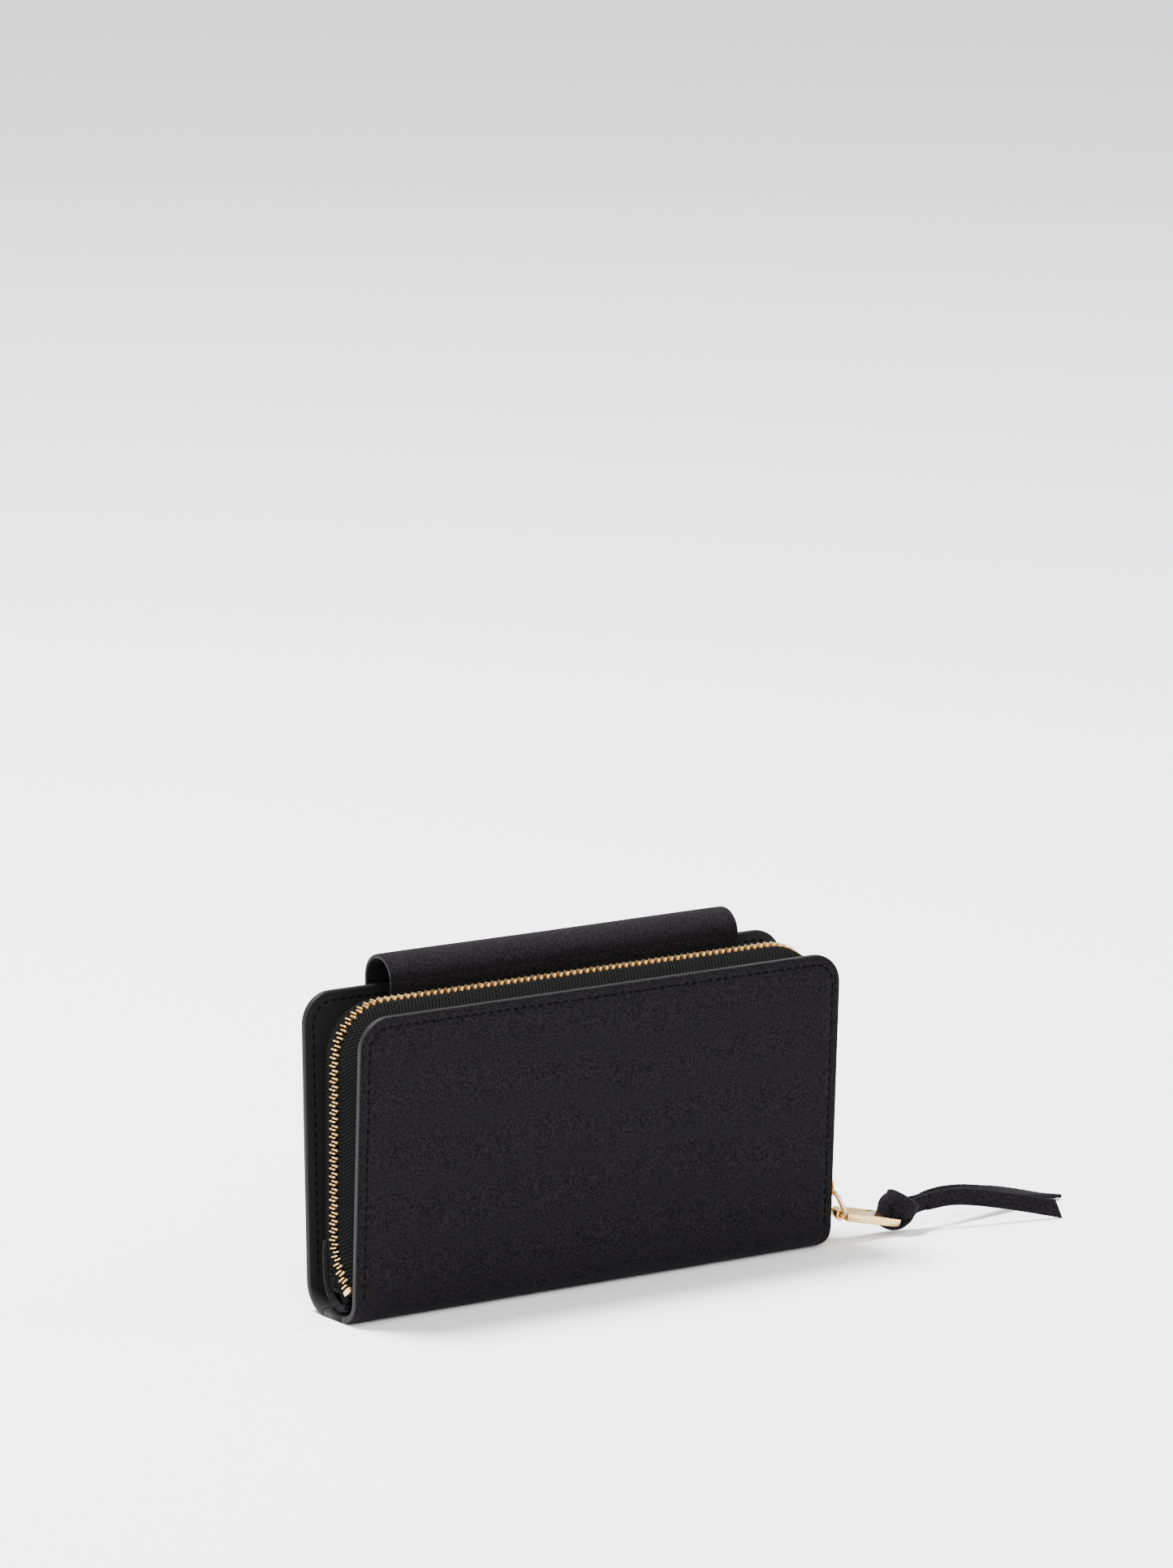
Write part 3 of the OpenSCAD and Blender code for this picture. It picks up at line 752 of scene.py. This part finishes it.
def tape_strip(name, side, start, end, body, node):
    """One tape: from the chain's edge to the cover (side -1) or the divider (side 1)."""
    count = int((end - start) / TAPE_STEP)
    sections, uvs = [], []
    for i in range(count + 1):
        s = start + (end - start) * i / count
        line, out = tape_line(s, side)
        width = (line[-1] - line[0]).length
        rows = [k / TAPE_ROWS * width for k in range(TAPE_ROWS + 1)]
        face = [p + out * (TAPE_T / 2 - RIB_HEIGHT + rib(s, v)) for p, v in zip(line, rows)]
        sections.append(face + [p - out * TAPE_T / 2 for p in reversed(line)])
        uvs += [(s, v) for v in rows + rows[::-1]]
    points, faces = sweep(sections)
    obj = build(name, points, faces, [TAPE], None, uvs)
    finish_piece(obj, body, "tape", node)


def tooth_mesh(points, faces, s, side):
    """One cast tooth: jaws on the tape, a waist, and a rounded head past the middle."""
    point, along, across, out = chain_frame(s)
    across = across * side
    outline = [(-2.2, 0.2), (-2.1, 0.27), (-1.1, 0.27), (-0.5, 0.22), (0.0, 0.28), (0.5, 0.33),
               (0.75, 0.22), (0.85, 0.0)]
    outline = outline + [(v, -u) for v, u in reversed(outline[:-1])]
    half = TOOTH_H / 2
    centre = -0.9
    sections = []
    for height, scale in ((-half, 0.82), (-half + 0.3, 1.0), (half - 0.35, 1.0), (half, 0.72)):
        squeeze = scale * 0.35 + 0.65
        sections.append([point + across * (centre + (v - centre) * squeeze) + along * u * scale + out * height
                         for v, u in outline])
    add_part(points, faces, sections)


def tooth_row(name, side, shift, body, node):
    points, faces = [], []
    s = TOP_STOP_S + STOP_L / 2 + TOOTH_T + shift
    while s <= SLIDER_S:
        tooth_mesh(points, faces, s, side)
        s += TOOTH_PITCH
    obj = build(name, points, faces, [TEETH])
    bevelled(obj, 0.09, 1)
    finish_piece(obj, body, "teeth", node)


def baked(obj):
    """Turns an object's modifiers into its mesh."""
    bpy.context.view_layer.update()
    evaluated = obj.evaluated_get(bpy.context.evaluated_depsgraph_get())
    mesh = bpy.data.meshes.new_from_object(evaluated)
    obj.modifiers.clear()
    obj.data = mesh
    return obj


def bevelled(obj, width, segments):
    """Rounds an object's hard edges, in millimetres."""
    bevel = obj.modifiers.new("round", "BEVEL")
    bevel.width = width * MM
    bevel.segments = segments
    bevel.limit_method = "ANGLE"
    bevel.angle_limit = math.radians(40)
    bevel.harden_normals = False
    return baked(obj)


tape_strip("front_zip_tape", -1, 0.5, CHAIN_L - 1.0, "front_half", "front_tape")
tape_strip("rear_zip_tape", 1, 0.5, CHAIN_L - 1.0, "core", "rear_tape")
tooth_row("front_tooth_row", -1, 0.0, "front_half", "front_teeth")
tooth_row("rear_tooth_row", 1, TOOTH_PITCH / 2, "core", "rear_teeth")


def framed(s, u, v, w):
    """A point in the chain's own frame at s: u along, v across, w out."""
    point, along, across, out = chain_frame(s)
    return point + along * u + across * v + out * w


def slab(name, outline, low, high, place, material, round_by=0.25):
    """A plate with a flat outline, from low to high, with rounded edges."""
    sections = [[place(u, v, low) for u, v in outline], [place(u, v, high) for u, v in outline]]
    points, faces = sweep(sections)
    obj = build(name, points, faces, [material])
    return bevelled(obj, round_by, 2)


for stop_name, node_name, stop_s in (
    ("top_stop", "zip_top_stop", TOP_STOP_S),
    ("bottom_stop", "zip_bottom_stop", CHAIN_L - BOTTOM_STOP_BACK),
):
    stop = slab(stop_name, rounded_rect(STOP_L, 4.0, 0.5), -TOOTH_H / 2, TOOTH_H / 2,
                lambda u, v, w, s=stop_s: framed(s, u, v, w), TEETH)
    finish_piece(stop, "core", "teeth", node_name)


# ---- slider and pull

def on_slider(u, v, w):
    return framed(SLIDER_S, u, v, w)


def slider_outline(length, wide, narrow):
    """A slider's plate: wide shoulders at the open end, narrower at the closed end."""
    outline = []
    for k in range(13):
        a = -QUARTER + math.pi * k / 12
        outline.append((length / 2 - wide / 3 + wide / 3 * math.cos(a), wide / 2 * math.sin(a)))
    for k in range(9):
        a = QUARTER + math.pi * k / 8
        outline.append((-length / 2 + narrow / 4 + narrow / 4 * math.cos(a), narrow / 2 * math.sin(a)))
    return outline


def joined(name, parts):
    """Several mesh objects as one."""
    work = bmesh.new()
    for part in parts:
        work.from_mesh(part.data)
    mesh = bpy.data.meshes.new(name)
    work.to_mesh(mesh)
    work.free()
    for material in parts[0].data.materials:
        mesh.materials.append(material)
    for part in parts:
        bpy.data.objects.remove(part)
    return placed(name, mesh)


channel = TOOTH_H / 2 + 0.3
plates = [
    slab("slider_outer", slider_outline(9.6, 9.2, 7.2), channel, channel + 1.3, on_slider, METAL, 0.5),
    slab("slider_inner", slider_outline(9.6, 7.4, 6.8), -channel - 1.3, -channel, on_slider, METAL, 0.4),
    slab("slider_post", [(4.6 + u, v) for u, v in rounded_rect(1.0, 2.2, 0.4)], -channel - 0.2, channel + 0.2,
         on_slider, METAL, 0.1),
]
for side in (-1, 1):
    wall = [(0.4 + u, side * 4.1 + v) for u, v in rounded_rect(7.0, 0.8, 0.35)]
    plates.append(slab("slider_wall", wall, 0.75, channel + 0.4, on_slider, METAL, 0.1))
finish_piece(joined("zip_slider", plates), "slider", "hardware", "slider_body")


def wire(name, line, radius, material, closed=False, sides=14, flatten=1.0, wide_axis=None):
    """A round or flattened wire along a line of points."""
    count = len(line)
    sections = []
    reference = wide_axis or Vector((0, 1, 0))
    for i in range(count):
        ahead = line[(i + 1) % count] if closed else line[min(i + 1, count - 1)]
        behind = line[i - 1] if closed else line[max(i - 1, 0)]
        t = (ahead - behind).normalized()
        side_way = (reference - t * reference.dot(t))
        if side_way.length < 0.05:
            side_way = Vector((1, 0, 0)) - t * t.x
        side_way.normalize()
        up = t.cross(side_way)
        ring = []
        for k in range(sides):
            a = 2 * math.pi * k / sides
            ring.append(line[i] + side_way * radius * math.cos(a) + up * radius * flatten * math.sin(a))
        sections.append(ring)
    if closed:
        sections.append(sections[0])
        points, faces = sweep(sections, capped=False)
        size = sides * count
        faces = [tuple(p % size for p in face) for face in faces]
        points = points[:size]
    else:
        points, faces = sweep(sections)
    return build(name, points, faces, [material])


# The bail: a flat strip that arches over the link's bar
bail = []
for k in range(25):
    f = k / 24
    a = math.pi * f
    u = -3.6 * math.cos(a)
    w = channel + 0.9 + 3.7 * math.sin(a) ** 0.55
    bail.append(on_slider(u, 0, w))
bridge = wire("slider_bail", bail, 1.25, METAL, flatten=0.42, sides=16, wide_axis=chain_frame(SLIDER_S)[2])
finish_piece(bridge, "slider", "hardware", "slider_bridge")

slider_point = chain_frame(SLIDER_S)[0]
LINK_TOP = Vector((CHAIN_X + 4.3, slider_point.y, slider_point.z - 1))
LINK_LOW = Vector((103.2, slider_point.y, 9.4))
LINK_W = 10.0
LINK_CORNER_R = 2.6
WIRE_R = 0.8


def link_line():
    """The link's long ring: straight where the plate hangs, round under the bail."""
    down = LINK_LOW - LINK_TOP
    middle, along = LINK_TOP + down / 2, down.normalized()
    outline = rounded_rect(LINK_W, down.length, LINK_CORNER_R, 8)
    return [middle + along * u + Vector((0, v, 0)) for v, u in outline]


link = wire("pull_link_ring", link_line(), WIRE_R, METAL, closed=True, sides=16,
            wide_axis=Vector((0.6, 0.2, 0.7)))
finish_piece(link, "link", "hardware", "pull_link")

PLATE_ROLL = math.radians(8)
PLATE_DIP = math.radians(12.5)
PLATE_YAW = math.radians(-5)
BAR_FROM = 1.8
PLATE_L = 21.5
PLATE_W = 7.4
PLATE_T = 3.0
LUG_W = 4.4
LUG_R = 1.9
SLOT_U = BAR_FROM + PLATE_L - 5.6
plate_axes = (Matrix.Rotation(PLATE_YAW, 3, "Z") @ Matrix.Rotation(PLATE_DIP, 3, "Y")
              @ Matrix.Rotation(PLATE_ROLL, 3, "X"))


def on_plate(u, v, w):
    return LINK_LOW + plate_axes @ Vector((u, v, w))


def drilled(body, tool):
    """Cuts a tool out of a body and throws the tool away."""
    hole = body.modifiers.new("hole", "BOOLEAN")
    hole.operation = "DIFFERENCE"
    hole.object = tool
    hole.solver = "EXACT"
    baked(body)
    bpy.data.objects.remove(tool)
    return body


def plate_with_slot():
    """The pull's plate: a bar with a slot for the lace and a lug with an eye for the link."""
    outer = [(BAR_FROM + PLATE_L / 2 + u, v) for u, v in rounded_rect(PLATE_L, PLATE_W, 0.5, 3)]
    bar = slab("plate_bar", outer, -PLATE_T / 2, PLATE_T / 2, on_plate, METAL, 0.35)
    slot_tool = slab("slot_tool", [(SLOT_U + u, v) for u, v in rounded_rect(2.4, LACE_W + 0.6, 0.8)],
                     -PLATE_T, PLATE_T, on_plate, METAL, 0.01)
    turns = [math.radians(a) for a in range(60, 301, 12)]
    lug_side = [(LUG_R * math.cos(a), LUG_R * math.sin(a)) for a in turns]
    lug_side += [(BAR_FROM + 0.6, -1.4), (BAR_FROM + 0.6, 1.4)]
    lug = slab("plate_lug", lug_side, -LUG_W / 2, LUG_W / 2, lambda u, w, v: on_plate(u, v, w), METAL, 0.25)
    eye_line = [LINK_LOW + Vector((0, -PLATE_W, 0)), LINK_LOW + Vector((0, PLATE_W, 0))]
    eye_tool = wire("eye_tool", eye_line, WIRE_R + 0.25, METAL, sides=24, wide_axis=Vector((1, 0, 0)))
    return joined("pull_plate_bar", [drilled(bar, slot_tool), drilled(lug, eye_tool)])


finish_piece(plate_with_slot(), "plate", "hardware", "pull_plate")


# ---- lace

SLANT = 6.0


def ribbon(name, line, wide, width=LACE_W, cut=0.0, bow=0.0):
    """A flat lace along a line: wide gives the direction of its width at each point.

    cut slants the far end, and bow bends both edges down from the middle."""
    outline = rounded_rect(width, LACE_T, LACE_T * 0.42, 3)
    sections = []
    ways = tangents(line)
    lengths = [0.0]
    for a, b in zip(line, line[1:]):
        lengths.append(lengths[-1] + (b - a).length)
    for i, point in enumerate(line):
        t = ways[i]
        across = (wide[i] - t * wide[i].dot(t)).normalized()
        up = t.cross(across)
        slant = cut * max(0.0, 1 - (lengths[-1] - lengths[i]) / SLANT)
        ring = []
        for v, w in outline:
            fuzz = 0.05 * math.sin(lengths[i] * 1.9 + v * 2.1)
            sink = bow * (2 * v / width) ** 2
            ring.append(point + across * v + up * (w + fuzz - sink) + t * slant * v)
        sections.append(ring)
    points, faces = sweep(sections)
    return build(name, points, faces, [LACE])


KNOT = Vector((127.4, -8.8, 9.8))
# The way the lace is wide: nearly level through the plate, nearly upright where the tails leave
LEVEL_WIDE = (0, 1, 0.1)
TAIL_WIDE = (0, -0.17, 0.98)


def band_loop(name, centre, reach, depth, tilt, turns, start, drift, width, bow):
    """A band wound round the Y-way strands: its long way is tipped down towards +X by tilt degrees."""
    down = Vector((math.cos(math.radians(tilt)), 0, -math.sin(math.radians(tilt))))
    normal = down.cross(Vector((0, 1, 0)))
    steps = int(40 * turns)
    line, wide = [], []
    for i in range(steps + 1):
        f = i / steps
        a = math.radians(start) + 2 * math.pi * turns * f
        shrink = 1 - 0.1 * f
        line.append(centre + down * reach * shrink * math.cos(a)
                    + Vector((0, depth * shrink * math.sin(a), 0)) + normal * drift * (f - 0.5))
        wide.append(normal)
    return ribbon(name, line, wide, width=width, bow=bow)


def strand(name, places, wide):
    line = smooth_line(places, 6)
    return ribbon(name, line, [Vector(wide)] * len(line))


def knot():
    """The overhand knot: strands that rise from the plate's slot and a band drawn round them."""
    slot_deep = on_plate(SLOT_U, 0, 0)
    rise = on_plate(SLOT_U - 0.3, 0, PLATE_T / 2 + 1.0)
    dive = on_plate(SLOT_U + 0.2, 0, -PLATE_T / 2 - 0.5)
    parts = [
        band_loop("band", KNOT, 7.4, 5.4, 36, 1.06, 80, 1.2, LACE_W, 1.7),
        band_loop("inner_band", KNOT + Vector((0.6, 0, -1.6)), 4.6, 3.9, 70, 1.04, 80, -0.8, 4.6, 1.2),
        strand("rise_outer", [slot_deep, rise, (121.4, -8.2, 11.4), (124.4, -8.6, 13.0), (128.5, -8.9, 11.5)],
               LEVEL_WIDE),
        strand("rise_inner", [slot_deep, rise + Vector((1.5, 0, 0.1)), (123.4, -8.4, 10.0),
                              (127.5, -8.8, 10.4)], LEVEL_WIDE),
        strand("dive", [slot_deep, dive, (124.2, -8.5, 2.6), (128.4, -9.2, 4.2), (131.5, -9.2, 7.6)],
               LEVEL_WIDE),
        strand("to_front_tail", [(122.8, -10.6, 8.8), (128.5, -10.6, 8.6), (133.5, -9.9, 9.0),
                                 (137.4, -9.62, 9.45)], TAIL_WIDE),
        strand("to_rear_tail", [(122.8, -7.0, 9.2), (128.5, -7.2, 8.8), (133.5, -7.9, 9.1),
                                (137.4, -7.78, 9.55)], TAIL_WIDE),
    ]
    return joined("lace_knot_body", parts)


knot_piece = finish_piece(knot(), "plate", "lace", "lace_knot")


def tail(name, route, twist_start, twist_end, cut):
    """One tail of the lace: rises from the knot, arches and lies down, turning flat."""
    line = smooth_line(route, 5)
    ways = tangents(line)
    wide = []
    for i, t in enumerate(ways):
        level = Vector((0, 0, 1)).cross(t).normalized()
        f = i / (len(line) - 1)
        turn = math.radians(twist_start + (twist_end - twist_start) * f)
        wide.append(level * math.cos(turn) + t.cross(level) * math.sin(turn))
    obj = ribbon(name, line, wide, cut=cut)
    length = sum((b - a).length for a, b in zip(line, line[1:]))
    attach(obj, "plate")
    return obj, line, length


def declare_tail(obj, line, length, node, *going_along):
    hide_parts(node)
    [p * MM for p in line]


front_tail, front_line, front_length = tail("lace_front_tail", TAIL_FRONT, 80, 78, -0.6)
declare_tail(front_tail, front_line, front_length, "lace_tail_front", knot_piece)
rear_tail, rear_line, rear_length = tail("lace_rear_tail", TAIL_REAR, 80, -8, -0.35)
declare_tail(rear_tail, rear_line, rear_length, "lace_tail_rear")


# ---- divider, pockets and gussets

def upright_place(y0):
    def place(x, z, depth):
        return (x, y0 - depth, z + DIVIDER_LOW)
    return place


divider = cover_panel(
    "divider_panel", DIVIDER_W, CHAIN_TOP - 0.6 - DIVIDER_LOW, CHAIN_R - 0.6, DIVIDER_T,
    upright_place(DIVIDER_BACK), [SUEDE, SUEDE, LINING], 3.3)
finish_piece(divider, "core", "suede", "divider_facing", "divider_board", "divider_backing")


POCKET_T = 0.5
POCKET_W = 170.0
POCKET_LOW = 16.0
POCKET_HIGH = 74.0
POCKET_DROP = 8
NOTE_HIGH = 88.0
HEM = 3.0


def pocket(name, node, high, place, seed, body):
    """A pocket sheet sewn on three sides: its upper edge is hemmed and gapes a little."""
    w, low = POCKET_W, POCKET_LOW
    cols, rows = 48, 16
    layers = []
    for thick in (POCKET_T, 0.0):
        for i in range(rows + 1):
            z = low + (high - low) * (1 - (1 - i / rows) ** 1.4)
            for k in range(cols + 1):
                f = k / cols
                x = -w / 2 + w * f
                depth = 0.28 * abs(math.sin(math.pi * 2 * f)) * (i / rows) ** 3
                if thick:
                    depth += thick + (0.08 if high - z < HEM else 0.0) + 0.04 * math.sin(x / 7 + seed)
                layers.append(place(x, z, depth))
    obj = layered(name, layers, rows, cols, LINING)
    finish_piece(obj, body, "lining", node)


for n in range(4):
    back = DIVIDER_BACK + POCKET_T * n
    pocket(f"card_pocket_{n + 1}", f"card_slot_{n + 1}", POCKET_HIGH - POCKET_DROP * n,
           lambda x, z, d, back=back: (x, back + d, z), n, "core")


def rear_inner(level):
    def place(x, z, depth):
        return rear_place(x, z - REAR_AXIS[1], COVER_T + level + depth)
    return place


pocket("note_pocket", "bill_pocket", NOTE_HIGH, rear_inner(0.0), 5, "rear_half")
for n in range(3):
    pocket(f"cover_pocket_{n + 1}", f"cover_slot_{n + 1}", POCKET_HIGH - POCKET_DROP * n,
           rear_inner(POCKET_T * (n + 1)), 6 + n, "rear_half")


def seam(name, place, low, high, body):
    """The row of stitches down the middle of the pockets."""
    line = [Vector(place(0, low + (high - low) * k / 40, 0.52)) for k in range(41)]
    up = (Vector(place(0, 20, 2)) - Vector(place(0, 20, 0))).normalized()
    stitches(name, line, [up] * 41, body, length=2.2, pitch=2.9, width=0.4)


seam("divider_seam", lambda x, z, d: (x, DIVIDER_BACK + 1.5 + d, z), 17, 49, "core")
seam("rear_pocket_seam", rear_inner(1.5), 17, 57, "rear_half")


def plain_sheet(name, points_of, rows, cols, thick, material, *nodes):
    """A thin lining sheet from a function of two fractions, thickened by a vector."""
    points = [Vector(points_of(i / rows, k / cols)) for i in range(rows + 1) for k in range(cols + 1)]
    obj = layered(name, points + [p + Vector(thick) for p in points], rows, cols, material)
    finish_piece(obj, "core", "lining", *nodes)


BASE_X = 93.0
floor_front = FRONT_AXIS[0] - FRONT_AXIS[1] + FOLD_T + 0.6
plain_sheet(
    "compartment_base", lambda f, g: (-BASE_X + 2 * BASE_X * g,
                                      floor_front + (DIVIDER_Y - 0.2 - floor_front) * f,
                                      9.1 + 0.5 * math.cos(math.pi * f) * math.sin(math.pi * f)),
    8, 40, (0, 0, 0.6), LINING, "compartment_floor")
plain_sheet(
    "divider_anchor_strip", lambda f, g: (-BASE_X + 2 * BASE_X * g, 2.7 + 0.3 * math.sin(math.pi * f),
                                          FOLD_T + 11.2 * f),
    8, 40, (0, 0.6, 0), LINING, "divider_anchor")

GUSSET_X = 93.9
GUSSET_DEPTH = 9.0
GUSSET_ROUTE = [(0, 5.6, 25), (0, 5.6, 17), (0, 4.6, 10.4), (0, 1.6, 6.2), (0, -3, 4.5), (0, -7, 5.4)]


def gusset(side):
    """The lining's folded end, which closes the gap between the divider's foot and the chain's end."""
    label = "left" if side < 0 else "right"
    route = smooth_line(GUSSET_ROUTE, 6)
    rows = len(route) - 1

    def point(f, g):
        p = route[round(f * rows)]
        return (side * (GUSSET_X - GUSSET_DEPTH * g), p.y, p.z)

    plain_sheet(f"gusset_{label}", point, rows, 8, (0, 0.35, 0.35), SUEDE)
    rolled = [Vector((side * GUSSET_X, p.y, p.z)) for p in route]
    roll = wire(f"gusset_roll_{label}", rolled, 1.15, SUEDE, sides=12, wide_axis=Vector((1, 0, 0)))
    finish_piece(roll, "core", "lining")


gusset(-1)
gusset(1)


# ---- closure tab

TAB_SHEET = [SUEDE, EDGE, SUEDE]
TAB_CORNER = 9.0
TAB_COLS = 40


def tab_profile(t):
    outside = [(4.5, 0.0), (3.2, 0.01), (2.9, 0.08), (2.6, 0.01), (1.2, 0.0), (0.5, 0.05), (0.2, 0.14),
               (0.04, 0.3)]
    edge = [(0.0, 0.5), (-0.02, t / 2), (0.0, t - 0.5), (0.04, t - 0.3)]
    inside = [(0.2, t - 0.14), (0.5, t - 0.05), (1.2, t), (4.5, t)]
    return banded(outside, edge, inside)


def tab_point(l, x, depth):
    """A point on the tab at the length l from the root's lower end, depth below its outer face."""
    near = TAB_AXIS[1] - TAB_ROOT_LOW
    arch = math.pi * TAB_R
    if l < near:
        return (x, TAB_AXIS[0] - TAB_R + depth, TAB_ROOT_LOW + l)
    if l < near + arch:
        a = math.pi - (l - near) / TAB_R
        r = TAB_R - depth
        return (x, TAB_AXIS[0] + r * math.cos(a), TAB_AXIS[1] + r * math.sin(a))
    down = l - near - arch
    return (x, TAB_AXIS[0] + TAB_R - depth, TAB_AXIS[1] - down)


TAB_LENGTH = (TAB_AXIS[1] - TAB_ROOT_LOW) + math.pi * TAB_R + (TAB_AXIS[1] - TAB_LOW)


def tab_piece(name, start, end, steps, rounded=False):
    """A stretch of the tab, as wide as the tab; the last one has round corners."""
    profile, kinds = tab_profile(TAB_T)
    sections = []
    for i in range(steps + 1):
        l = start + (end - start) * i / steps
        half = TAB_W / 2
        left = end - l
        if rounded and left < TAB_CORNER:
            half -= TAB_CORNER - math.sqrt(max(0.0, TAB_CORNER ** 2 - (TAB_CORNER - left) ** 2))
        loop = sheet_loop(half, TAB_T, profile, TAB_COLS, 0.05 * math.sin(l / 6.0))
        sections.append([tab_point(l, x, depth) for x, depth in loop])
    return bent_sheet(name, sections, TAB_COLS, kinds, TAB_SHEET)


BEND_LOW = 102.0 - TAB_ROOT_LOW
BEND_HIGH = 107.2 - TAB_ROOT_LOW
finish_piece(tab_piece("tab_root_sheet", 0, BEND_LOW, 10), "core", "suede", "tab_root")
tab_bend = tab_piece("tab_bend_sheet", BEND_LOW, BEND_HIGH, 10)
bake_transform(tab_bend)
finish_piece(tab_piece("closure_tab_sheet", BEND_HIGH, TAB_LENGTH, 90, True), "tab", "suede",
             "closure_tab", "tab_lining")


def tab_stitches():
    """The stitch line down the sides of the tab's outer leg and across its lower end, below the arch."""
    inset = 2.9
    begin = TAB_AXIS[1] - TAB_ROOT_LOW + math.pi * TAB_R + 2
    half = TAB_W / 2 - inset
    low = TAB_LENGTH - inset
    corner = TAB_CORNER - inset
    left = [(begin + (low - corner - begin) * k / 60, -half) for k in range(61)]
    turns = [QUARTER * k / 8 for k in range(1, 9)]
    bend = [(low - corner + corner * math.sin(a), -half + corner * (1 - math.cos(a))) for a in turns]
    across = [(low, (-half + corner) + (2 * half - 2 * corner) * k / 60) for k in range(1, 60)]
    route = left + bend + across
    route += [(l, -x) for l, x in reversed(left + bend)]
    line = [Vector(tab_point(l, x, 0.08)) for l, x in route]
    outer = [Vector(tab_point(l, x, -1)) for l, x in route]
    normals = [(b - a).normalized() for a, b in zip(line, outer)]
    stitches("tab_stitches", line, normals, "tab", length=2.4, width=0.5)


tab_stitches()


# ---- snap

def turned(name, profile, place, steps=48):
    """A lathe-turned piece: profile is (radius, height) from the axis out and back to it."""
    sections = []
    for k in range(steps):
        a = 2 * math.pi * k / steps
        sections.append([place(r * math.cos(a), r * math.sin(a), h) for r, h in profile])
    size = len(profile)
    points = [p for section in sections for p in section]
    faces = []
    for i in range(steps):
        j = (i + 1) % steps
        for k in range(size - 1):
            faces.append((i * size + k, i * size + k + 1, j * size + k + 1, j * size + k))
    obj = build(name, points, faces, [METAL])
    work = bmesh.new()
    work.from_mesh(obj.data)
    bmesh.ops.remove_doubles(work, verts=work.verts, dist=1e-7)
    bmesh.ops.recalc_face_normals(work, faces=work.faces)
    work.to_mesh(obj.data)
    work.free()
    return obj


tab_outer_y = TAB_AXIS[0] + TAB_R
cap_profile = [(0, 1.55), (1.5, 1.5), (3.2, 1.3), (4.4, 0.95), (4.9, 0.75), (5.1, 0.9), (5.6, 0.95),
               (6.05, 0.7), (6.2, 0.3), (6.1, 0.0), (0, 0.0)]
cap = turned("snap_cap_dome", cap_profile, lambda u, v, h: (u, tab_outer_y + h, SNAP_Z + v))
finish_piece(cap, "tab", "hardware", "snap_cap")
socket_profile = [(2.0, 0.0), (2.1, 0.8), (3.4, 1.0), (4.4, 0.8), (5.1, 0.35), (5.2, 0.0), (2.0, 0.0)]
socket_y = tab_outer_y - TAB_T
socket = turned("snap_socket_ring", socket_profile, lambda u, v, h: (u, socket_y - h, SNAP_Z + v))
finish_piece(socket, "tab", "hardware", "snap_socket")
stud_profile = [(0, 2.3), (1.2, 2.25), (1.55, 1.9), (1.45, 1.4), (1.5, 1.1), (2.4, 0.9), (4.6, 0.75),
                (5.2, 0.4), (5.15, 0.1), (0, 0.1)]
rear_face_y = (REAR_AXIS[0] + REAR_AXIS[1] / math.cos(REAR_LEAN)
               + (SNAP_Z - REAR_AXIS[1]) * math.tan(REAR_LEAN))
stud = turned("snap_stud_button", stud_profile,
              lambda u, v, h: (u, rear_face_y + h * 0.6 - 0.02, SNAP_Z + v))
finish_piece(stud, "rear_half", "hardware", "snap_stud", "stud_rivet")


# ---- floor and light

def plane(name, size, material):
    half = size / 2
    mesh = bpy.data.meshes.new(name)
    corners = [(-half, -half, 0), (half, -half, 0), (half, half, 0), (-half, half, 0)]
    mesh.from_pydata(corners, [], [(0, 1, 2, 3)])
    mesh.materials.append(material)
    return placed(name, mesh)


def floor_material():
    n = Nodes("studio_floor")
    n.set(Base_Color=(0.86, 0.86, 0.86, 1), Roughness=0.9, Specular_IOR_Level=0.05)
    return n.material


plane("floor", 60, floor_material())

LIT_POINT = Vector((0, 0, 0.05))


def area_light(name, place, size, power):
    data = bpy.data.lights.new(name, "AREA")
    data.shape = "DISK"
    data.size = size
    data.energy = power
    obj = placed(name, data)
    obj.location = place
    obj.rotation_mode = "QUATERNION"
    obj.rotation_quaternion = (LIT_POINT - Vector(place)).to_track_quat("-Z", "Y")


area_light("key", (-0.45, 0.6, 2.5), 0.7, 270)
area_light("fill", (-1.4, -1.8, 1.6), 1.8, 55)
area_light("side", (1.8, -0.8, 1.2), 1.2, 14)
world = bpy.data.worlds.new("studio")
world.use_nodes = True
backdrop = world.node_tree.nodes["Background"].inputs
backdrop["Color"].default_value = (1, 1, 1, 1)
backdrop["Strength"].default_value = 1.5
bpy.context.scene.world = world
